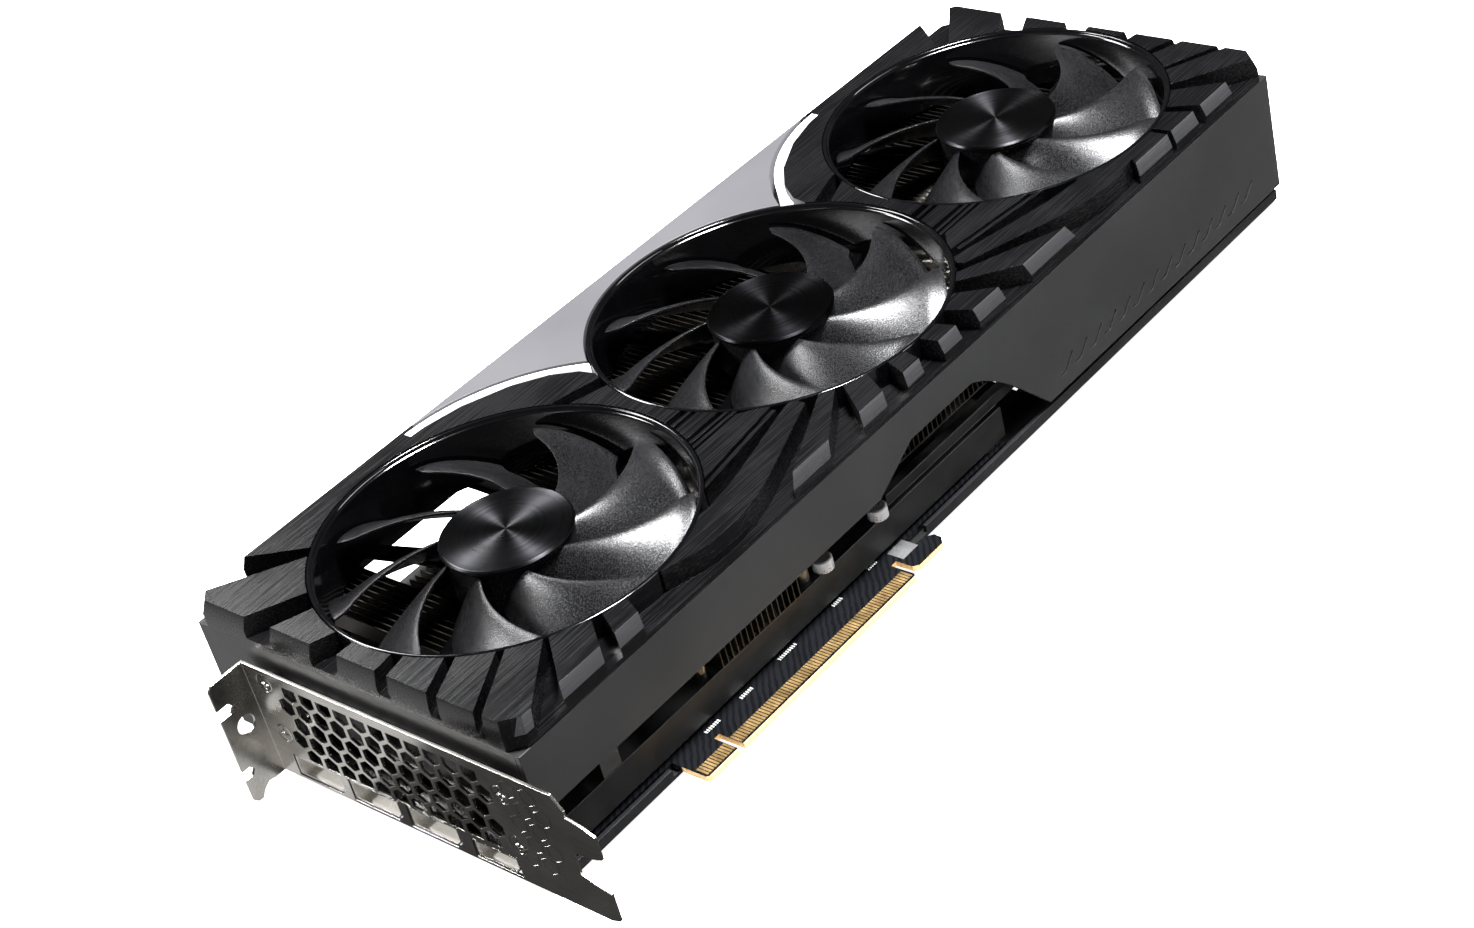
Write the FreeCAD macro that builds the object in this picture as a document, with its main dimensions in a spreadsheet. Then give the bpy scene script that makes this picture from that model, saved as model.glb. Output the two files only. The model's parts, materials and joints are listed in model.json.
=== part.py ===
"""Triple-fan graphics card as a parametric assembly of separate pieces.

Frame: X runs from the slot bracket's outer face to the far end, Y from the edge
connector's contact edge to the card's top edge, Z from the board's component face
out through the fans.  Units are millimetres.
"""

import FreeCAD, Part
import Sketcher
import math
import os
import re

from FreeCAD import Placement, Rotation, Vector

doc = FreeCAD.newDocument("GraphicsCard")

# ---------------------------------------------------------------- driving sizes

SIZES = {
    # printed circuit board and its slot connector
    "PcbThickness": 1.57,
    "PcbNear": 2.9,
    "PcbFar": 188.0,
    "PcbLow": 12.4,
    "TongueNear": 45.65,
    "TongueShort": 11.65,
    "TongueLong": 71.65,
    "KeyWidth": 1.9,
    "KeyDepth": 8.3,
    "HookGap": 2.15,
    "HookReach": 13.5,
    "HookNeck": 8.0,
    "HookLow": 2.0,
    "HookHigh": 7.7,
    "ContactPitch": 1.0,
    "ContactWidth": 0.7,
    "ContactLow": 1.2,
    "ContactHigh": 5.0,
    "ContactFilm": 0.05,
    # slot bracket
    "SheetThickness": 0.86,
    "BracketTop": 109.1,
    "BracketBack": -3.2,
    "BracketFront": 32.9,
    "TabDepth": 11.43,
    "TabBack": -5.7,
    "TabHole": 2.75,
    "HexSize": 5.1,
    "HexPitch": 6.46,
    "HexRow": 5.4,
    "HexFirst": 28.0,
    "HexMid": 17.6,
    "ScrewHead": 2.7,
    "ScrewShank": 1.45,
    "ScrewClear": 0.15,
    "BoardClear": 0.25,
    "HeadSink": 0.6,
    # display sockets
    "SocketDepth": 15.5,
    "SocketBack": -1.85,
    "SocketWall": 0.4,
    "SocketGap": 0.4,
    "DisplayWidth": 17.7,
    "DisplayHeight": 6.2,
    "MediaWidth": 15.2,
    "MediaHeight": 5.2,
    "MediaPlace": 29.0,
    # fans
    "RotorRadius": 48.0,
    "TipGap": 1.6,
    "RingWall": 1.8,
    "RingGap": 4.0,
    "HubRadius": 17.2,
    "HubWall": 1.6,
    "CapRadius": 17.8,
    "CapThickness": 1.2,
    "CapDrop": 1.6,
    "FanDepth": 18.0,
    "FanBase": 1.6,
    "EarReach": 2.6,
    "EarScrew": 0.9,
    "BladeThickness": 1.5,
    "ShaftRadius": 1.5,
    "RunningGap": 0.05,
    "BearingWall": 1.9,
    "MagnetWall": 1.5,
    "AirGap": 0.6,
    # cooler
    "FrameTop": 10.5,
    "FramePlate": 1.6,
    "FrameWall": 1.5,
    "FrameNear": 8.0,
    "FrameFar": 190.0,
    "FinHeight": 5.5,
    "FinRise": 11.0,
    "FinPitch": 2.05,
    "FinThickness": 0.35,
    "FanClear": 1.0,
    "PipeRadius": 3.0,
    "PipePitch": 9.0,
    "PipeLow": 14.2,
    "ChipX": 112.0,
    "ChipY": 66.0,
    "PackageSide": 45.0,
    "PackageThickness": 1.2,
    "DieThickness": 0.8,
    "PlateSide": 56.0,
    # covers
    "NearMargin": 6.7,
    "FarMargin": 3.5,
    "SideMargin": 6.85,
    "CoverNear": 2.7,
    "CoverWall": 1.8,
    "FasciaDepth": 8.0,
    "FasciaFloor": 1.6,
    "EdgeBevel": 1.2,
    "BevelDrop": 4.0,
    "CoverFoot": 1.0,
    "SlotTop": 19.0,
    "PanelGap": 0.3,
    "LightWidth": 2.3,
    # backplate
    "BackplateGap": 0.43,
    "BackplateThickness": 1.2,
    "VentWidth": 3.4,
    "VentPitch": 8.2,
}

DERIVED = {
    "RingInner": "RotorRadius + TipGap",
    "RingOuter": "RingInner + RingWall",
    "FanPitch": "2 * RingOuter + RingGap",
    "FanFirst": "CoverNear + NearMargin + RingOuter",
    "CoverFar": "FanFirst + 2 * FanPitch + RingOuter + FarMargin",
    "CoverLow": "PcbLow - 2.35",
    "CoverHigh": "CoverLow + 2 * (RingOuter + SideMargin)",
    "FanMiddle": "CoverLow + RingOuter + SideMargin",
    "PcbHigh": "CoverHigh - 3.95",
    "VentNear": "PcbFar + 24",
    "BladeHeight": "FanDepth - 7.5",
    "DisplayPitch": "DisplayWidth + 3.6",
    "DisplayFirst": "MediaPlace + (MediaWidth + DisplayWidth) / 2 + 5.3",
    "FinBottom": "FrameTop + FinRise",
    "FinTop": "FinBottom + FinHeight",
    "FanFloor": "FinTop + FanClear",
    "FaceTop": "FanFloor + FanDepth",
    "Seam": "FaceTop - FasciaDepth",
    "FloorTop": "Seam + FasciaFloor",
    "CapTop": "FaceTop - CapDrop",
    "HubTop": "CapTop - CapThickness",
    "PlateTop": "0 - PcbThickness - BackplateGap",
    "PlateBottom": "PlateTop - BackplateThickness",
    "TongueFar": "TongueNear + TongueShort + KeyWidth + TongueLong",
    "FrameLow": "CoverLow + 3.45",
    "FrameHigh": "CoverHigh - 5.1",
    "PipeHigh": "FinTop - PipeRadius - 0.2",
    "PlateHigh": "PipeLow - 1.5",
}

sheet = doc.addObject("Spreadsheet::Sheet", "Sizes")
for row, (alias, value) in enumerate({**SIZES, **DERIVED}.items(), start=1):
    cell = f"B{row}"
    sheet.set(f"A{row}", alias)
    sheet.set(cell, f"={value}" if alias in DERIVED else str(value))
    sheet.setAlias(cell, alias)
doc.recompute()


def size(name):
    """Value of one named size, in millimetres."""
    return float(getattr(sheet, name))


def linked(text):
    """The same expression with each size name pointing at the sheet."""
    return re.sub(r"\b([A-Z][A-Za-z]+)\b", r"Sizes.\1", text)


def eval_sizes(text):
    """Number that an expression of named sizes gives."""
    result = sheet.evalExpression(str(text))
    return float(getattr(result, "Value", result))


def bind(target, prop, text):
    """Ties one property of an object to an expression of named sizes."""
    target.setExpression(prop, linked(str(text)))


# ---------------------------------------------------------------- small builders

PARTS = []


def keep(item, node):
    """Labels a finished piece with its node name and lists it for writing."""
    item.Label = node
    PARTS.append(item)
    return item


def box(name, x, y, z, length, width, height):
    """A Part box from its low corner and its three sides, all expressions."""
    item = doc.addObject("Part::Box", name)
    for prop, text in zip(("Length", "Width", "Height"), (length, width, height)):
        bind(item, prop, text)
    for axis, text in zip("xyz", (x, y, z)):
        bind(item, f"Placement.Base.{axis}", text)
    return item


def cylinder(name, x, y, z, radius, height):
    """An upright Part cylinder from the centre of its foot."""
    item = doc.addObject("Part::Cylinder", name)
    bind(item, "Radius", radius)
    bind(item, "Height", height)
    for axis, text in zip("xyz", (x, y, z)):
        bind(item, f"Placement.Base.{axis}", text)
    return item


def cut(name, base, tool):
    """The base piece with the tool taken away."""
    item = doc.addObject("Part::Cut", name)
    item.Base, item.Tool = base, tool
    return item


def group(name, items):
    """Several solids kept side by side as one compound."""
    item = doc.addObject("Part::Compound", name)
    item.Links = items
    return item


def feature(name, shape, placement=None):
    """A Part feature that holds a shape worked out from the sheet."""
    item = doc.addObject("Part::Feature", name)
    item.Shape = shape
    if placement is not None:
        item.Placement = placement
    return item


def body(name):
    """A new PartDesign body."""
    return doc.addObject("PartDesign::Body", name)


def plane_of(owner, role):
    """One of a body's own origin planes."""
    return next(p for p in owner.Origin.OriginFeatures if p.Role == role)


def sketch(owner, name, role, offset="0", at=("0", "0")):
    """An empty sketch on one of the body's origin planes, lifted along its normal and shifted in it."""
    item = owner.newObject("Sketcher::SketchObject", name)
    item.AttachmentSupport = [(plane_of(owner, role), "")]
    item.MapMode = "FlatFace"
    for axis, text in zip("xyz", (*at, offset)):
        bind(item, f"AttachmentOffset.Base.{axis}", text)
    return item


def add_outline(item, points):
    """Adds a closed outline whose corners are pairs of expressions."""
    corners = [Vector(eval_sizes(u), eval_sizes(v), 0) for u, v in points]
    first = item.GeometryCount
    count = len(corners)
    for i in range(count):
        item.addGeometry(Part.LineSegment(corners[i], corners[(i + 1) % count]), False)
    for i in range(count):
        item.addConstraint(
            Sketcher.Constraint("Coincident", first + i, 2, first + (i + 1) % count, 1))
    for i, (u, v) in enumerate(points):
        for kind, text, number in (("DistanceX", u, corners[i].x), ("DistanceY", v, corners[i].y)):
            index = item.addConstraint(Sketcher.Constraint(kind, -1, 1, first + i, 1, number))
            bind(item, f"Constraints[{index}]", text)


def add_circle(item, u, v, radius):
    """Adds a circle whose centre and radius are expressions."""
    centre = Vector(eval_sizes(u), eval_sizes(v), 0)
    geo = item.addGeometry(Part.Circle(centre, Vector(0, 0, 1), eval_sizes(radius)), False)
    for kind, text, number in (("DistanceX", u, centre.x), ("DistanceY", v, centre.y)):
        index = item.addConstraint(Sketcher.Constraint(kind, -1, 1, geo, 3, number))
        bind(item, f"Constraints[{index}]", text)
    index = item.addConstraint(Sketcher.Constraint("Radius", geo, eval_sizes(radius)))
    bind(item, f"Constraints[{index}]", radius)


def rectangle(u0, v0, u1, v1):
    """Corner expressions of an upright rectangle."""
    return [(u0, v0), (u1, v0), (u1, v1), (u0, v1)]


def pad(owner, name, profile, length, reverse=False):
    """Adds material along the sketch's normal."""
    item = owner.newObject("PartDesign::Pad", name)
    item.Profile = profile
    bind(item, "Length", length)
    item.Reversed = reverse
    profile.Visibility = False
    return item


def pocket(owner, name, profile, length=None, reverse=False):
    """Cuts the sketch out, to a depth or, with none given, both ways through all."""
    item = owner.newObject("PartDesign::Pocket", name)
    item.Profile = profile
    if length is None:
        item.Type = "ThroughAll"
        item.Midplane = True
    else:
        bind(item, "Length", length)
        item.Reversed = reverse
    profile.Visibility = False
    return item


def repeat_along(owner, name, source, profile, axis, span, count):
    """Repeats a feature along one of its sketch's axes."""
    item = owner.newObject("PartDesign::LinearPattern", name)
    item.Originals = [source]
    item.Direction = (profile, [axis])
    bind(item, "Length", span)
    item.Occurrences = count
    owner.Tip = item
    return item


def repeat_round(owner, name, source, profile, count):
    """Repeats a feature in a full turn about its sketch's normal."""
    item = owner.newObject("PartDesign::PolarPattern", name)
    item.Originals = [source]
    item.Axis = (profile, ["N_Axis"])
    item.Angle = 360
    item.Occurrences = count
    owner.Tip = item
    return item


def prism(points, low, high):
    """A solid straight up from a closed outline of (x, y) points."""
    corners = [Vector(x, y, low) for x, y in points]
    face = Part.Face(Part.makePolygon(corners + corners[:1]))
    return face.extrude(Vector(0, 0, high - low))


def drum(x, y, low, radius, height):
    """A plain upright cylinder shape."""
    return Part.makeCylinder(radius, height, Vector(x, y, low))


def block(x, y, z, length, width, height):
    """A plain box shape from its low corner."""
    return Part.makeBox(length, width, height, Vector(x, y, z))


FANS = (1, 2, 3)


def fan_x(number):
    """Expression for the X of one fan's centre."""
    return f"FanFirst + {number - 1} * FanPitch"


def fan_centre(number):
    """Centre of one fan in X and Y."""
    return eval_sizes(fan_x(number)), size("FanMiddle")


# ---------------------------------------------------------------- board

# X, Y of the posts that hold the board between the cooler and the backplate
POSTS = [("FrameNear + 5", "PcbLow + 4.2"), ("FrameNear + 5", "PcbHigh - 8"),
         ("FrameNear + 58", "PcbLow + 6"), ("FrameNear + 58", "PcbHigh - 8"),
         ("FrameFar - 38", "PcbLow + 6"), ("FrameFar - 8", "PcbHigh - 8"),
         ("FrameFar - 8", "PcbLow + 6")]
CHIP_BOLT = 27.5


def chip_bolts():
    """X, Y of the four screws round the graphics chip."""
    return [(f"ChipX {a} {CHIP_BOLT}", f"ChipY {b} {CHIP_BOLT + 6}") for a in "+-" for b in "+-"]


def display_y(number):
    """Expression for the Y of one display socket's middle."""
    return f"DisplayFirst + {number - 1} * DisplayPitch"


def build_board():
    """Board with its slot tongue, locking hook, socket recesses and screw holes."""
    owner = body("Board")
    key = "TongueNear + TongueShort"
    hook = "TongueFar + HookGap"
    outline = sketch(owner, "BoardOutline", "XY_Plane")
    add_outline(outline, [
        ("PcbNear", "PcbLow"), ("TongueNear", "PcbLow"), ("TongueNear", "1.2"),
        ("TongueNear + 1.2", "0"), (key, "0"), (key, "KeyDepth"),
        (f"{key} + KeyWidth", "KeyDepth"), (f"{key} + KeyWidth", "0"),
        ("TongueFar - 1.2", "0"), ("TongueFar", "1.2"), ("TongueFar", "HookHigh + 1.1"),
        (hook, "HookHigh + 1.1"), (hook, "HookLow + 1.5"), (f"{hook} + 1.5", "HookLow"),
        (f"{hook} + HookReach - 2", "HookLow"), (f"{hook} + HookReach", "HookLow + 2"),
        (f"{hook} + HookReach", "HookHigh - 1.4"), (f"{hook} + HookReach - 1.4", "HookHigh"),
        (f"{hook} + HookNeck", "HookHigh"), (f"{hook} + HookNeck", "PcbLow"),
        ("PcbFar", "PcbLow"), ("PcbFar", "PcbHigh"), ("PcbNear", "PcbHigh")])
    pad(owner, "BoardPad", outline, "PcbThickness", reverse=True)
    holes = sketch(owner, "BoardHoles", "XY_Plane")
    for x, y in POSTS + chip_bolts():
        add_circle(holes, x, y, "ScrewShank + BoardClear")
    pocket(owner, "BoardDrill", holes)
    recess = sketch(owner, "SocketRecess", "XY_Plane")
    places = [(display_y(n), "DisplayWidth") for n in FANS] + [("MediaPlace", "MediaWidth")]
    for middle, width in places:
        half = f"({width} / 2 + SocketGap)"
        add_outline(recess, rectangle("PcbNear - 1", f"{middle} - {half}",
                                      "SheetThickness + SocketDepth + SocketGap",
                                      f"{middle} + {half}"))
    pocket(owner, "SocketRecessCut", recess)
    # the slot edge is planed off at a slant on both faces
    bevel = sketch(owner, "EdgeBevelProfile", "YZ_Plane", "TongueNear - 1")
    add_outline(bevel, [("-1", "0.1"), ("-1", "-0.35"), ("0.9", "0.1")])
    add_outline(bevel, [("-1", "-PcbThickness - 0.1"), ("0.9", "-PcbThickness - 0.1"),
                        ("-1", "-PcbThickness + 0.35")])
    planed = pocket(owner, "EdgeBevelCut", bevel,
                    "TongueFar - TongueNear + 2", reverse=True)
    planed.Type = "Length"
    keep(owner, "pcb")


def build_contacts():
    """Gold contact strips on both faces of the tongue, with the key's gap between them."""
    pitch, wide, film = size("ContactPitch"), size("ContactWidth"), size("ContactFilm")
    low, tall = size("ContactLow"), size("ContactHigh") - size("ContactLow")
    short, start = 11, size("TongueNear") + 1.1
    long_start = size("TongueNear") + size("TongueShort") + size("KeyWidth") + 0.55
    long_count = int((size("TongueFar") - 0.55 - long_start) / pitch) + 1
    places = [start + i * pitch for i in range(short) if start + i * pitch < long_start - size("KeyWidth") - 0.9]
    places += [long_start + i * pitch for i in range(long_count)]
    strips = []
    for x in places:
        for z in (0.0, -size("PcbThickness") - film):
            strips.append(block(x - wide / 2, low, z, wide, tall, film))
    keep(feature("Contacts", Part.makeCompound(strips)), "edge_contacts")


def build_chips():
    """Graphics chip, memory, power stages, chokes and capacitors on the board."""
    half = "PackageSide / 2"
    keep(box("Package", f"ChipX - {half}", f"ChipY - {half}", "0",
             "PackageSide", "PackageSide", "PackageThickness"), "gpu_package")
    keep(box("Die", "ChipX - 13.5", "ChipY - 12", "PackageThickness",
             "27", "24", "DieThickness"), "gpu_die")
    memory = []
    for i, shift in enumerate((-17, 0, 17)):
        memory.append(box(f"MemoryLow{i}", f"ChipX - {half} - 16", f"ChipY {shift:+d} - 7", "0",
                          "12", "14", "1.1"))
        memory.append(box(f"MemoryHigh{i}", f"ChipX + {half} + 4", f"ChipY {shift:+d} - 7", "0",
                          "12", "14", "1.1"))
    keep(group("Memory", memory), "memory_chips")
    stages, chokes, cans = [], [], []
    for i in range(8):
        y = f"{32 + 9.5 * i}"
        stages.append(box(f"Stage{i}", "FrameNear + 17", y, "0", "5", "6", "0.8"))
        chokes.append(box(f"Choke{i}", "FrameNear + 25", y, "0", "7", "7.4", "6.4"))
        cans.append(cylinder(f"Can{i}", "FrameNear + 37.5", f"{y} + 3.7", "0", "3.1", "7.2"))
    for i in range(6):
        y = f"{36 + 9.5 * i}"
        stages.append(box(f"StageFar{i}", "FrameFar - 20", y, "0", "5", "6", "0.8"))
        chokes.append(box(f"ChokeFar{i}", "FrameFar - 30", y, "0", "7", "7.4", "6.4"))
    keep(group("Stages", stages), "power_stages")
    keep(group("Chokes", chokes), "chokes")
    keep(group("Cans", cans), "capacitors")
    pads = [box("PadNear", "FrameNear + 25", "32", "6.4", "7", "73.9", "FrameTop - FramePlate - 6.4"),
            box("PadFar", "FrameFar - 30", "36", "6.4", "7", "54.9", "FrameTop - FramePlate - 6.4"),
            box("PadMemoryLow", f"ChipX - {half} - 16", "ChipY - 24", "1.1", "12", "48", "1"),
            box("PadMemoryHigh", f"ChipX + {half} + 4", "ChipY - 24", "1.1", "12", "48", "1")]
    keep(group("Pads", pads), "thermal_pads")


def build_power_header():
    """Power socket at the top edge, open towards +Y, with its contact pins."""
    depth, wide, tall, wall = 12.6, 19.2, 7.6, 1.1
    left, front = "FrameFar - 42", "PcbHigh + 1.2"
    shell = box("HeaderShell", left, f"{front} - {depth}", "0.2", wide, depth, tall)
    room = box("HeaderRoom", f"{left} + {wall}", f"{front} - {depth - 3}", f"0.2 + {wall}",
               wide - 2 * wall, depth - 2, tall - 2 * wall)
    keep(cut("Header", shell, room), "power_header")
    pins = []
    for i in range(6):
        for j, z in enumerate((2.3, 5.0)):
            pins.append(box(f"Pin{i}{j}", f"{left} + {wide / 2 + (i - 2.5) * 2.75 - 0.5}",
                            f"{front} - {depth - 3}", f"{z}", "1", "7", "1"))
    keep(group("Pins", pins), "power_pins")


# ---------------------------------------------------------------- display sockets

def build_socket(node, middle, wide, tall):
    """A folded steel socket shell, open at the bracket, round a moulded tongue's place."""
    owner = body("Shell" + node.title().replace("_", ""))
    outer = sketch(owner, owner.Name + "Outer", "YZ_Plane", "SheetThickness - 0.6")
    half = f"{wide} / 2"
    add_outline(outer, [
        (f"{middle} - {half}", "SocketBack + 1.6"), (f"{middle} - {half} + 1.6", "SocketBack"),
        (f"{middle} + {half}", "SocketBack"), (f"{middle} + {half}", f"SocketBack + {tall}"),
        (f"{middle} - {half}", f"SocketBack + {tall}")])
    pad(owner, owner.Name + "Pad", outer, "SocketDepth")
    inner = sketch(owner, owner.Name + "Inner", "YZ_Plane", "SheetThickness - 0.6")
    add_outline(inner, [
        (f"{middle} - {half} + SocketWall", "SocketBack + 1.8"),
        (f"{middle} - {half} + 1.8", "SocketBack + SocketWall"),
        (f"{middle} + {half} - SocketWall", "SocketBack + SocketWall"),
        (f"{middle} + {half} - SocketWall", f"SocketBack + {tall} - SocketWall"),
        (f"{middle} - {half} + SocketWall", f"SocketBack + {tall} - SocketWall")])
    pocket(owner, owner.Name + "Room", inner, "SocketDepth - 2", reverse=True)
    keep(owner, node)


def socket_tongue(name, middle, wide, tall):
    """The moulded contact tongue that stands inside a socket shell."""
    return box(name, "SheetThickness + 1.6", f"{middle} - {wide} / 2 + 2.6",
               f"SocketBack + {tall} / 2 - 0.5", "SocketDepth - 4.2", f"{wide} - 5.2", "1.1")


def build_sockets():
    """Three display sockets and one media socket."""
    for number in FANS:
        build_socket(f"displayport_{number}", display_y(number), "DisplayWidth", "DisplayHeight")
    tongues = [socket_tongue(f"DisplayTongue{n}", display_y(n), "DisplayWidth", "DisplayHeight")
               for n in FANS]
    keep(group("DisplayTongues", tongues), "displayport_tongues")
    build_socket("hdmi", "MediaPlace", "MediaWidth", "MediaHeight")
    keep(socket_tongue("MediaTongue", "MediaPlace", "MediaWidth", "MediaHeight"), "hdmi_tongue")


# ---------------------------------------------------------------- bracket

BRACKET_SCREWS = [("18.5", "25.5"), ("18.5", "9.4"), ("102", "28.5"), ("102", "12")]


def hexagon(middle_y, middle_z, low_cut=False, high_cut=False):
    """A point-up hexagon as sketch corners, whole or with one point cut off."""
    flat, side = "HexSize / 2", "HexSize * 0.2887"
    corners = [(f"{middle_y} - {flat}", f"{middle_z} - {side}")]
    if not low_cut:
        corners.append((middle_y, f"{middle_z} - 2 * {side}"))
    corners.append((f"{middle_y} + {flat}", f"{middle_z} - {side}"))
    corners.append((f"{middle_y} + {flat}", f"{middle_z} + {side}"))
    if not high_cut:
        corners.append((middle_y, f"{middle_z} + 2 * {side}"))
    corners.append((f"{middle_y} - {flat}", f"{middle_z} + {side}"))
    return corners


def build_bracket():
    """Two-slot bracket: face plate, fixing tab, lower tongues, vents and socket windows."""
    owner = body("Bracket")
    face = sketch(owner, "BracketFace", "YZ_Plane")
    add_outline(face, [
        ("BracketTop", "BracketBack"), ("BracketTop", "BracketFront"),
        ("0", "BracketFront"), ("-3", "BracketFront - 4"), ("-3", "27"),
        ("-8", "26"), ("-11.6", "24.5"), ("-11.6", "17.5"), ("-8", "16.4"), ("-1.8", "15.8"),
        ("-1.8", "9"), ("-6", "7.4"), ("-10.8", "6.4"), ("-10.8", "-2.2"), ("-8", "BracketBack")])
    pad(owner, "BracketPad", face, "SheetThickness")
    tab = sketch(owner, "BracketTab", "XZ_Plane", "-BracketTop")
    add_outline(tab, [
        ("SheetThickness", "BracketBack"), ("SheetThickness", "BracketFront"),
        ("1.5 - TabDepth", "BracketFront"), ("-TabDepth", "BracketFront - 1.5"),
        ("-TabDepth", "25.2"), ("-TabDepth + 3.6", "25.2"), ("-TabDepth + 4.9", "23.6"),
        ("-TabDepth + 3.6", "22"), ("-TabDepth", "22"), ("-TabDepth", "5.1"),
        ("-TabDepth + 2.4", "5.1"), ("-TabDepth + 3.6", "3.6"), ("-TabDepth + 2.4", "2.1"),
        ("-TabDepth", "2.1"), ("-TabDepth", "TabBack + 1.2"), ("1.2 - TabDepth", "TabBack"),
        ("-8.6", "TabBack"), ("-7.2", "TabBack + 1.8"), ("-5.4", "TabBack + 3"),
        ("-3.2", "TabBack + 2.5")])
    pad(owner, "TabPad", tab, "SheetThickness", reverse=True)
    hole = sketch(owner, "TabHoleProfile", "XZ_Plane", "-BracketTop")
    add_circle(hole, "-TabDepth + 6.3", "16.3", "TabHole")
    pocket(owner, "TabHoleCut", hole)
    windows = sketch(owner, "SocketWindows", "YZ_Plane")
    for number in FANS:
        middle, half = display_y(number), "(DisplayWidth / 2 + SocketGap)"
        add_outline(windows, [
            (f"{middle} - {half}", "SocketBack + 1.6"), (f"{middle} - {half} + 2", "SocketBack - SocketGap"),
            (f"{middle} + {half}", "SocketBack - SocketGap"),
            (f"{middle} + {half}", "SocketBack + DisplayHeight + SocketGap"),
            (f"{middle} - {half}", "SocketBack + DisplayHeight + SocketGap")])
    half = "(MediaWidth / 2 + SocketGap)"
    add_outline(windows, rectangle(f"MediaPlace - {half}", "SocketBack - SocketGap",
                                   f"MediaPlace + {half}", "SocketBack + MediaHeight + SocketGap"))
    for y, z in BRACKET_SCREWS:
        add_circle(windows, y, z, "ScrewShank + ScrewClear")
    pocket(owner, "WindowCut", windows)
    seats = sketch(owner, "ScrewSeats", "YZ_Plane")
    for y, z in BRACKET_SCREWS:
        add_circle(seats, y, z, "ScrewHead + ScrewClear")
    pocket(owner, "SeatCut", seats, "SheetThickness / 2", reverse=True)
    for row in range(-2, 3):
        shifted = row % 2 == 1
        count = 12 if shifted else 11
        start = "HexFirst - HexPitch / 2" if shifted else "HexFirst"
        place = sketch(owner, f"VentRow{row + 2}", "YZ_Plane")
        add_outline(place, hexagon(start, f"HexMid + {row} * HexRow",
                                   low_cut=row == -2, high_cut=row == 2))
        first = pocket(owner, f"VentCut{row + 2}", place)
        repeat_along(owner, f"Vents{row + 2}", first, place, "H_Axis",
                     f"{count - 1} * HexPitch", count)
    keep(owner, "bracket")


def build_bracket_fixings():
    """Flush screws in the bracket's seats and the folded stay beside the board."""
    screws = []
    seat, far = size("SheetThickness") / 2, size("CoverNear") + size("CoverWall") + 3
    for i, (y, z) in enumerate(BRACKET_SCREWS):
        profile = [(0, 0), (size("ScrewHead") - 0.3, 0), (size("ScrewHead"), 0.1), (size("ScrewHead"), seat),
                   (size("ScrewShank"), seat), (size("ScrewShank"), far), (0, far)]
        wire = Part.makePolygon([Vector(x, r, 0) for r, x in profile + profile[:1]])
        turned = Part.Face(wire).revolve(Vector(0, 0, 0), Vector(1, 0, 0), 360)
        slot = block(-1, -1.7, -0.35, 1.3, 3.4, 0.7)
        screw = turned.cut(slot).cut(block(-1, -0.35, -1.7, 1.3, 0.7, 3.4))
        screw.translate(Vector(0, float(y), float(z)))
        screws.append(screw)
    keep(feature("BracketScrews", Part.makeCompound(screws)), "bracket_screws")
    owner = body("Stay")
    side = sketch(owner, "StayProfile", "XZ_Plane", "-(CoverLow + CoverWall + 2.8)")
    add_outline(side, [("SheetThickness", "FrameTop + 6"), ("26", "FrameTop + 6"), ("26", "FrameTop"),
                       ("32.5", "FrameTop"), ("32.5", "FrameTop + 8.2"),
                       ("SheetThickness", "FrameTop + 8.2")])
    pad(owner, "StayPad", side, "1")
    keep(owner, "bracket_stay")


# ---------------------------------------------------------------- backplate

def build_backplate():
    """Backplate with rims, a window behind the chip, a slatted vent and screw recesses."""
    owner = body("Backplate")
    plate = sketch(owner, "BackOutline", "XY_Plane", "PlateBottom")
    add_outline(plate, rectangle("PcbNear", "CoverLow + 0.45", "CoverFar - CoverWall", "CoverHigh - 0.6"))
    pad(owner, "BackPad", plate, "BackplateThickness")
    rims = sketch(owner, "BackRims", "XY_Plane", "PlateTop")
    add_outline(rims, rectangle("TongueFar + HookGap + HookReach + 2", "CoverLow + 0.45",
                                "CoverFar - CoverWall", "CoverLow + 1.65"))
    add_outline(rims, rectangle("PcbNear", "CoverLow + 0.45", "TongueNear - 2", "CoverLow + 1.65"))
    add_outline(rims, rectangle("PcbNear", "CoverHigh - 1.8", "CoverFar - CoverWall", "CoverHigh - 0.6"))
    pad(owner, "RimPad", rims, "BackplateGap + PcbThickness")
    drill = sketch(owner, "BackDrill", "XY_Plane", "PlateBottom")
    sinks = sketch(owner, "ScrewSinks", "XY_Plane", "PlateBottom")
    for x, y in POSTS + chip_bolts():
        add_circle(drill, x, y, "ScrewShank + BoardClear")
        add_circle(sinks, x, y, "ScrewHead + ScrewClear")
    pocket(owner, "BackDrillCut", drill)
    pocket(owner, "SinkCut", sinks, "HeadSink", reverse=True)
    slat = sketch(owner, "VentSlat", "XY_Plane", "PlateBottom")
    lean = 12
    add_outline(slat, [("VentNear", "CoverLow + 16"), ("VentNear + VentWidth", "CoverLow + 16"),
                       (f"VentNear + VentWidth + {lean}", "CoverHigh - 16"),
                       (f"VentNear + {lean}", "CoverHigh - 16")])
    first = pocket(owner, "SlatCut", slat)
    doc.recompute()
    room = size("CoverFar") - size("VentNear") - lean - 12 - size("VentWidth")
    count = int(room / size("VentPitch")) + 1
    repeat_along(owner, "Slats", first, slat, "H_Axis", f"{count - 1} * VentPitch", count)
    keep(owner, "backplate")


def flush_screw(x, y, top):
    """A flat-head screw that stands up from the back face to a given height."""
    head, shank, sink = size("ScrewHead"), size("ScrewShank") - 0.2, size("HeadSink")
    foot = size("PlateBottom")
    whole = drum(x, y, foot, head, sink).fuse(drum(x, y, foot + sink, shank, top - foot - sink))
    return whole.cut(block(x - 1.8, y - 0.3, foot - 0.1, 3.6, 0.6, 0.45))


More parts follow.
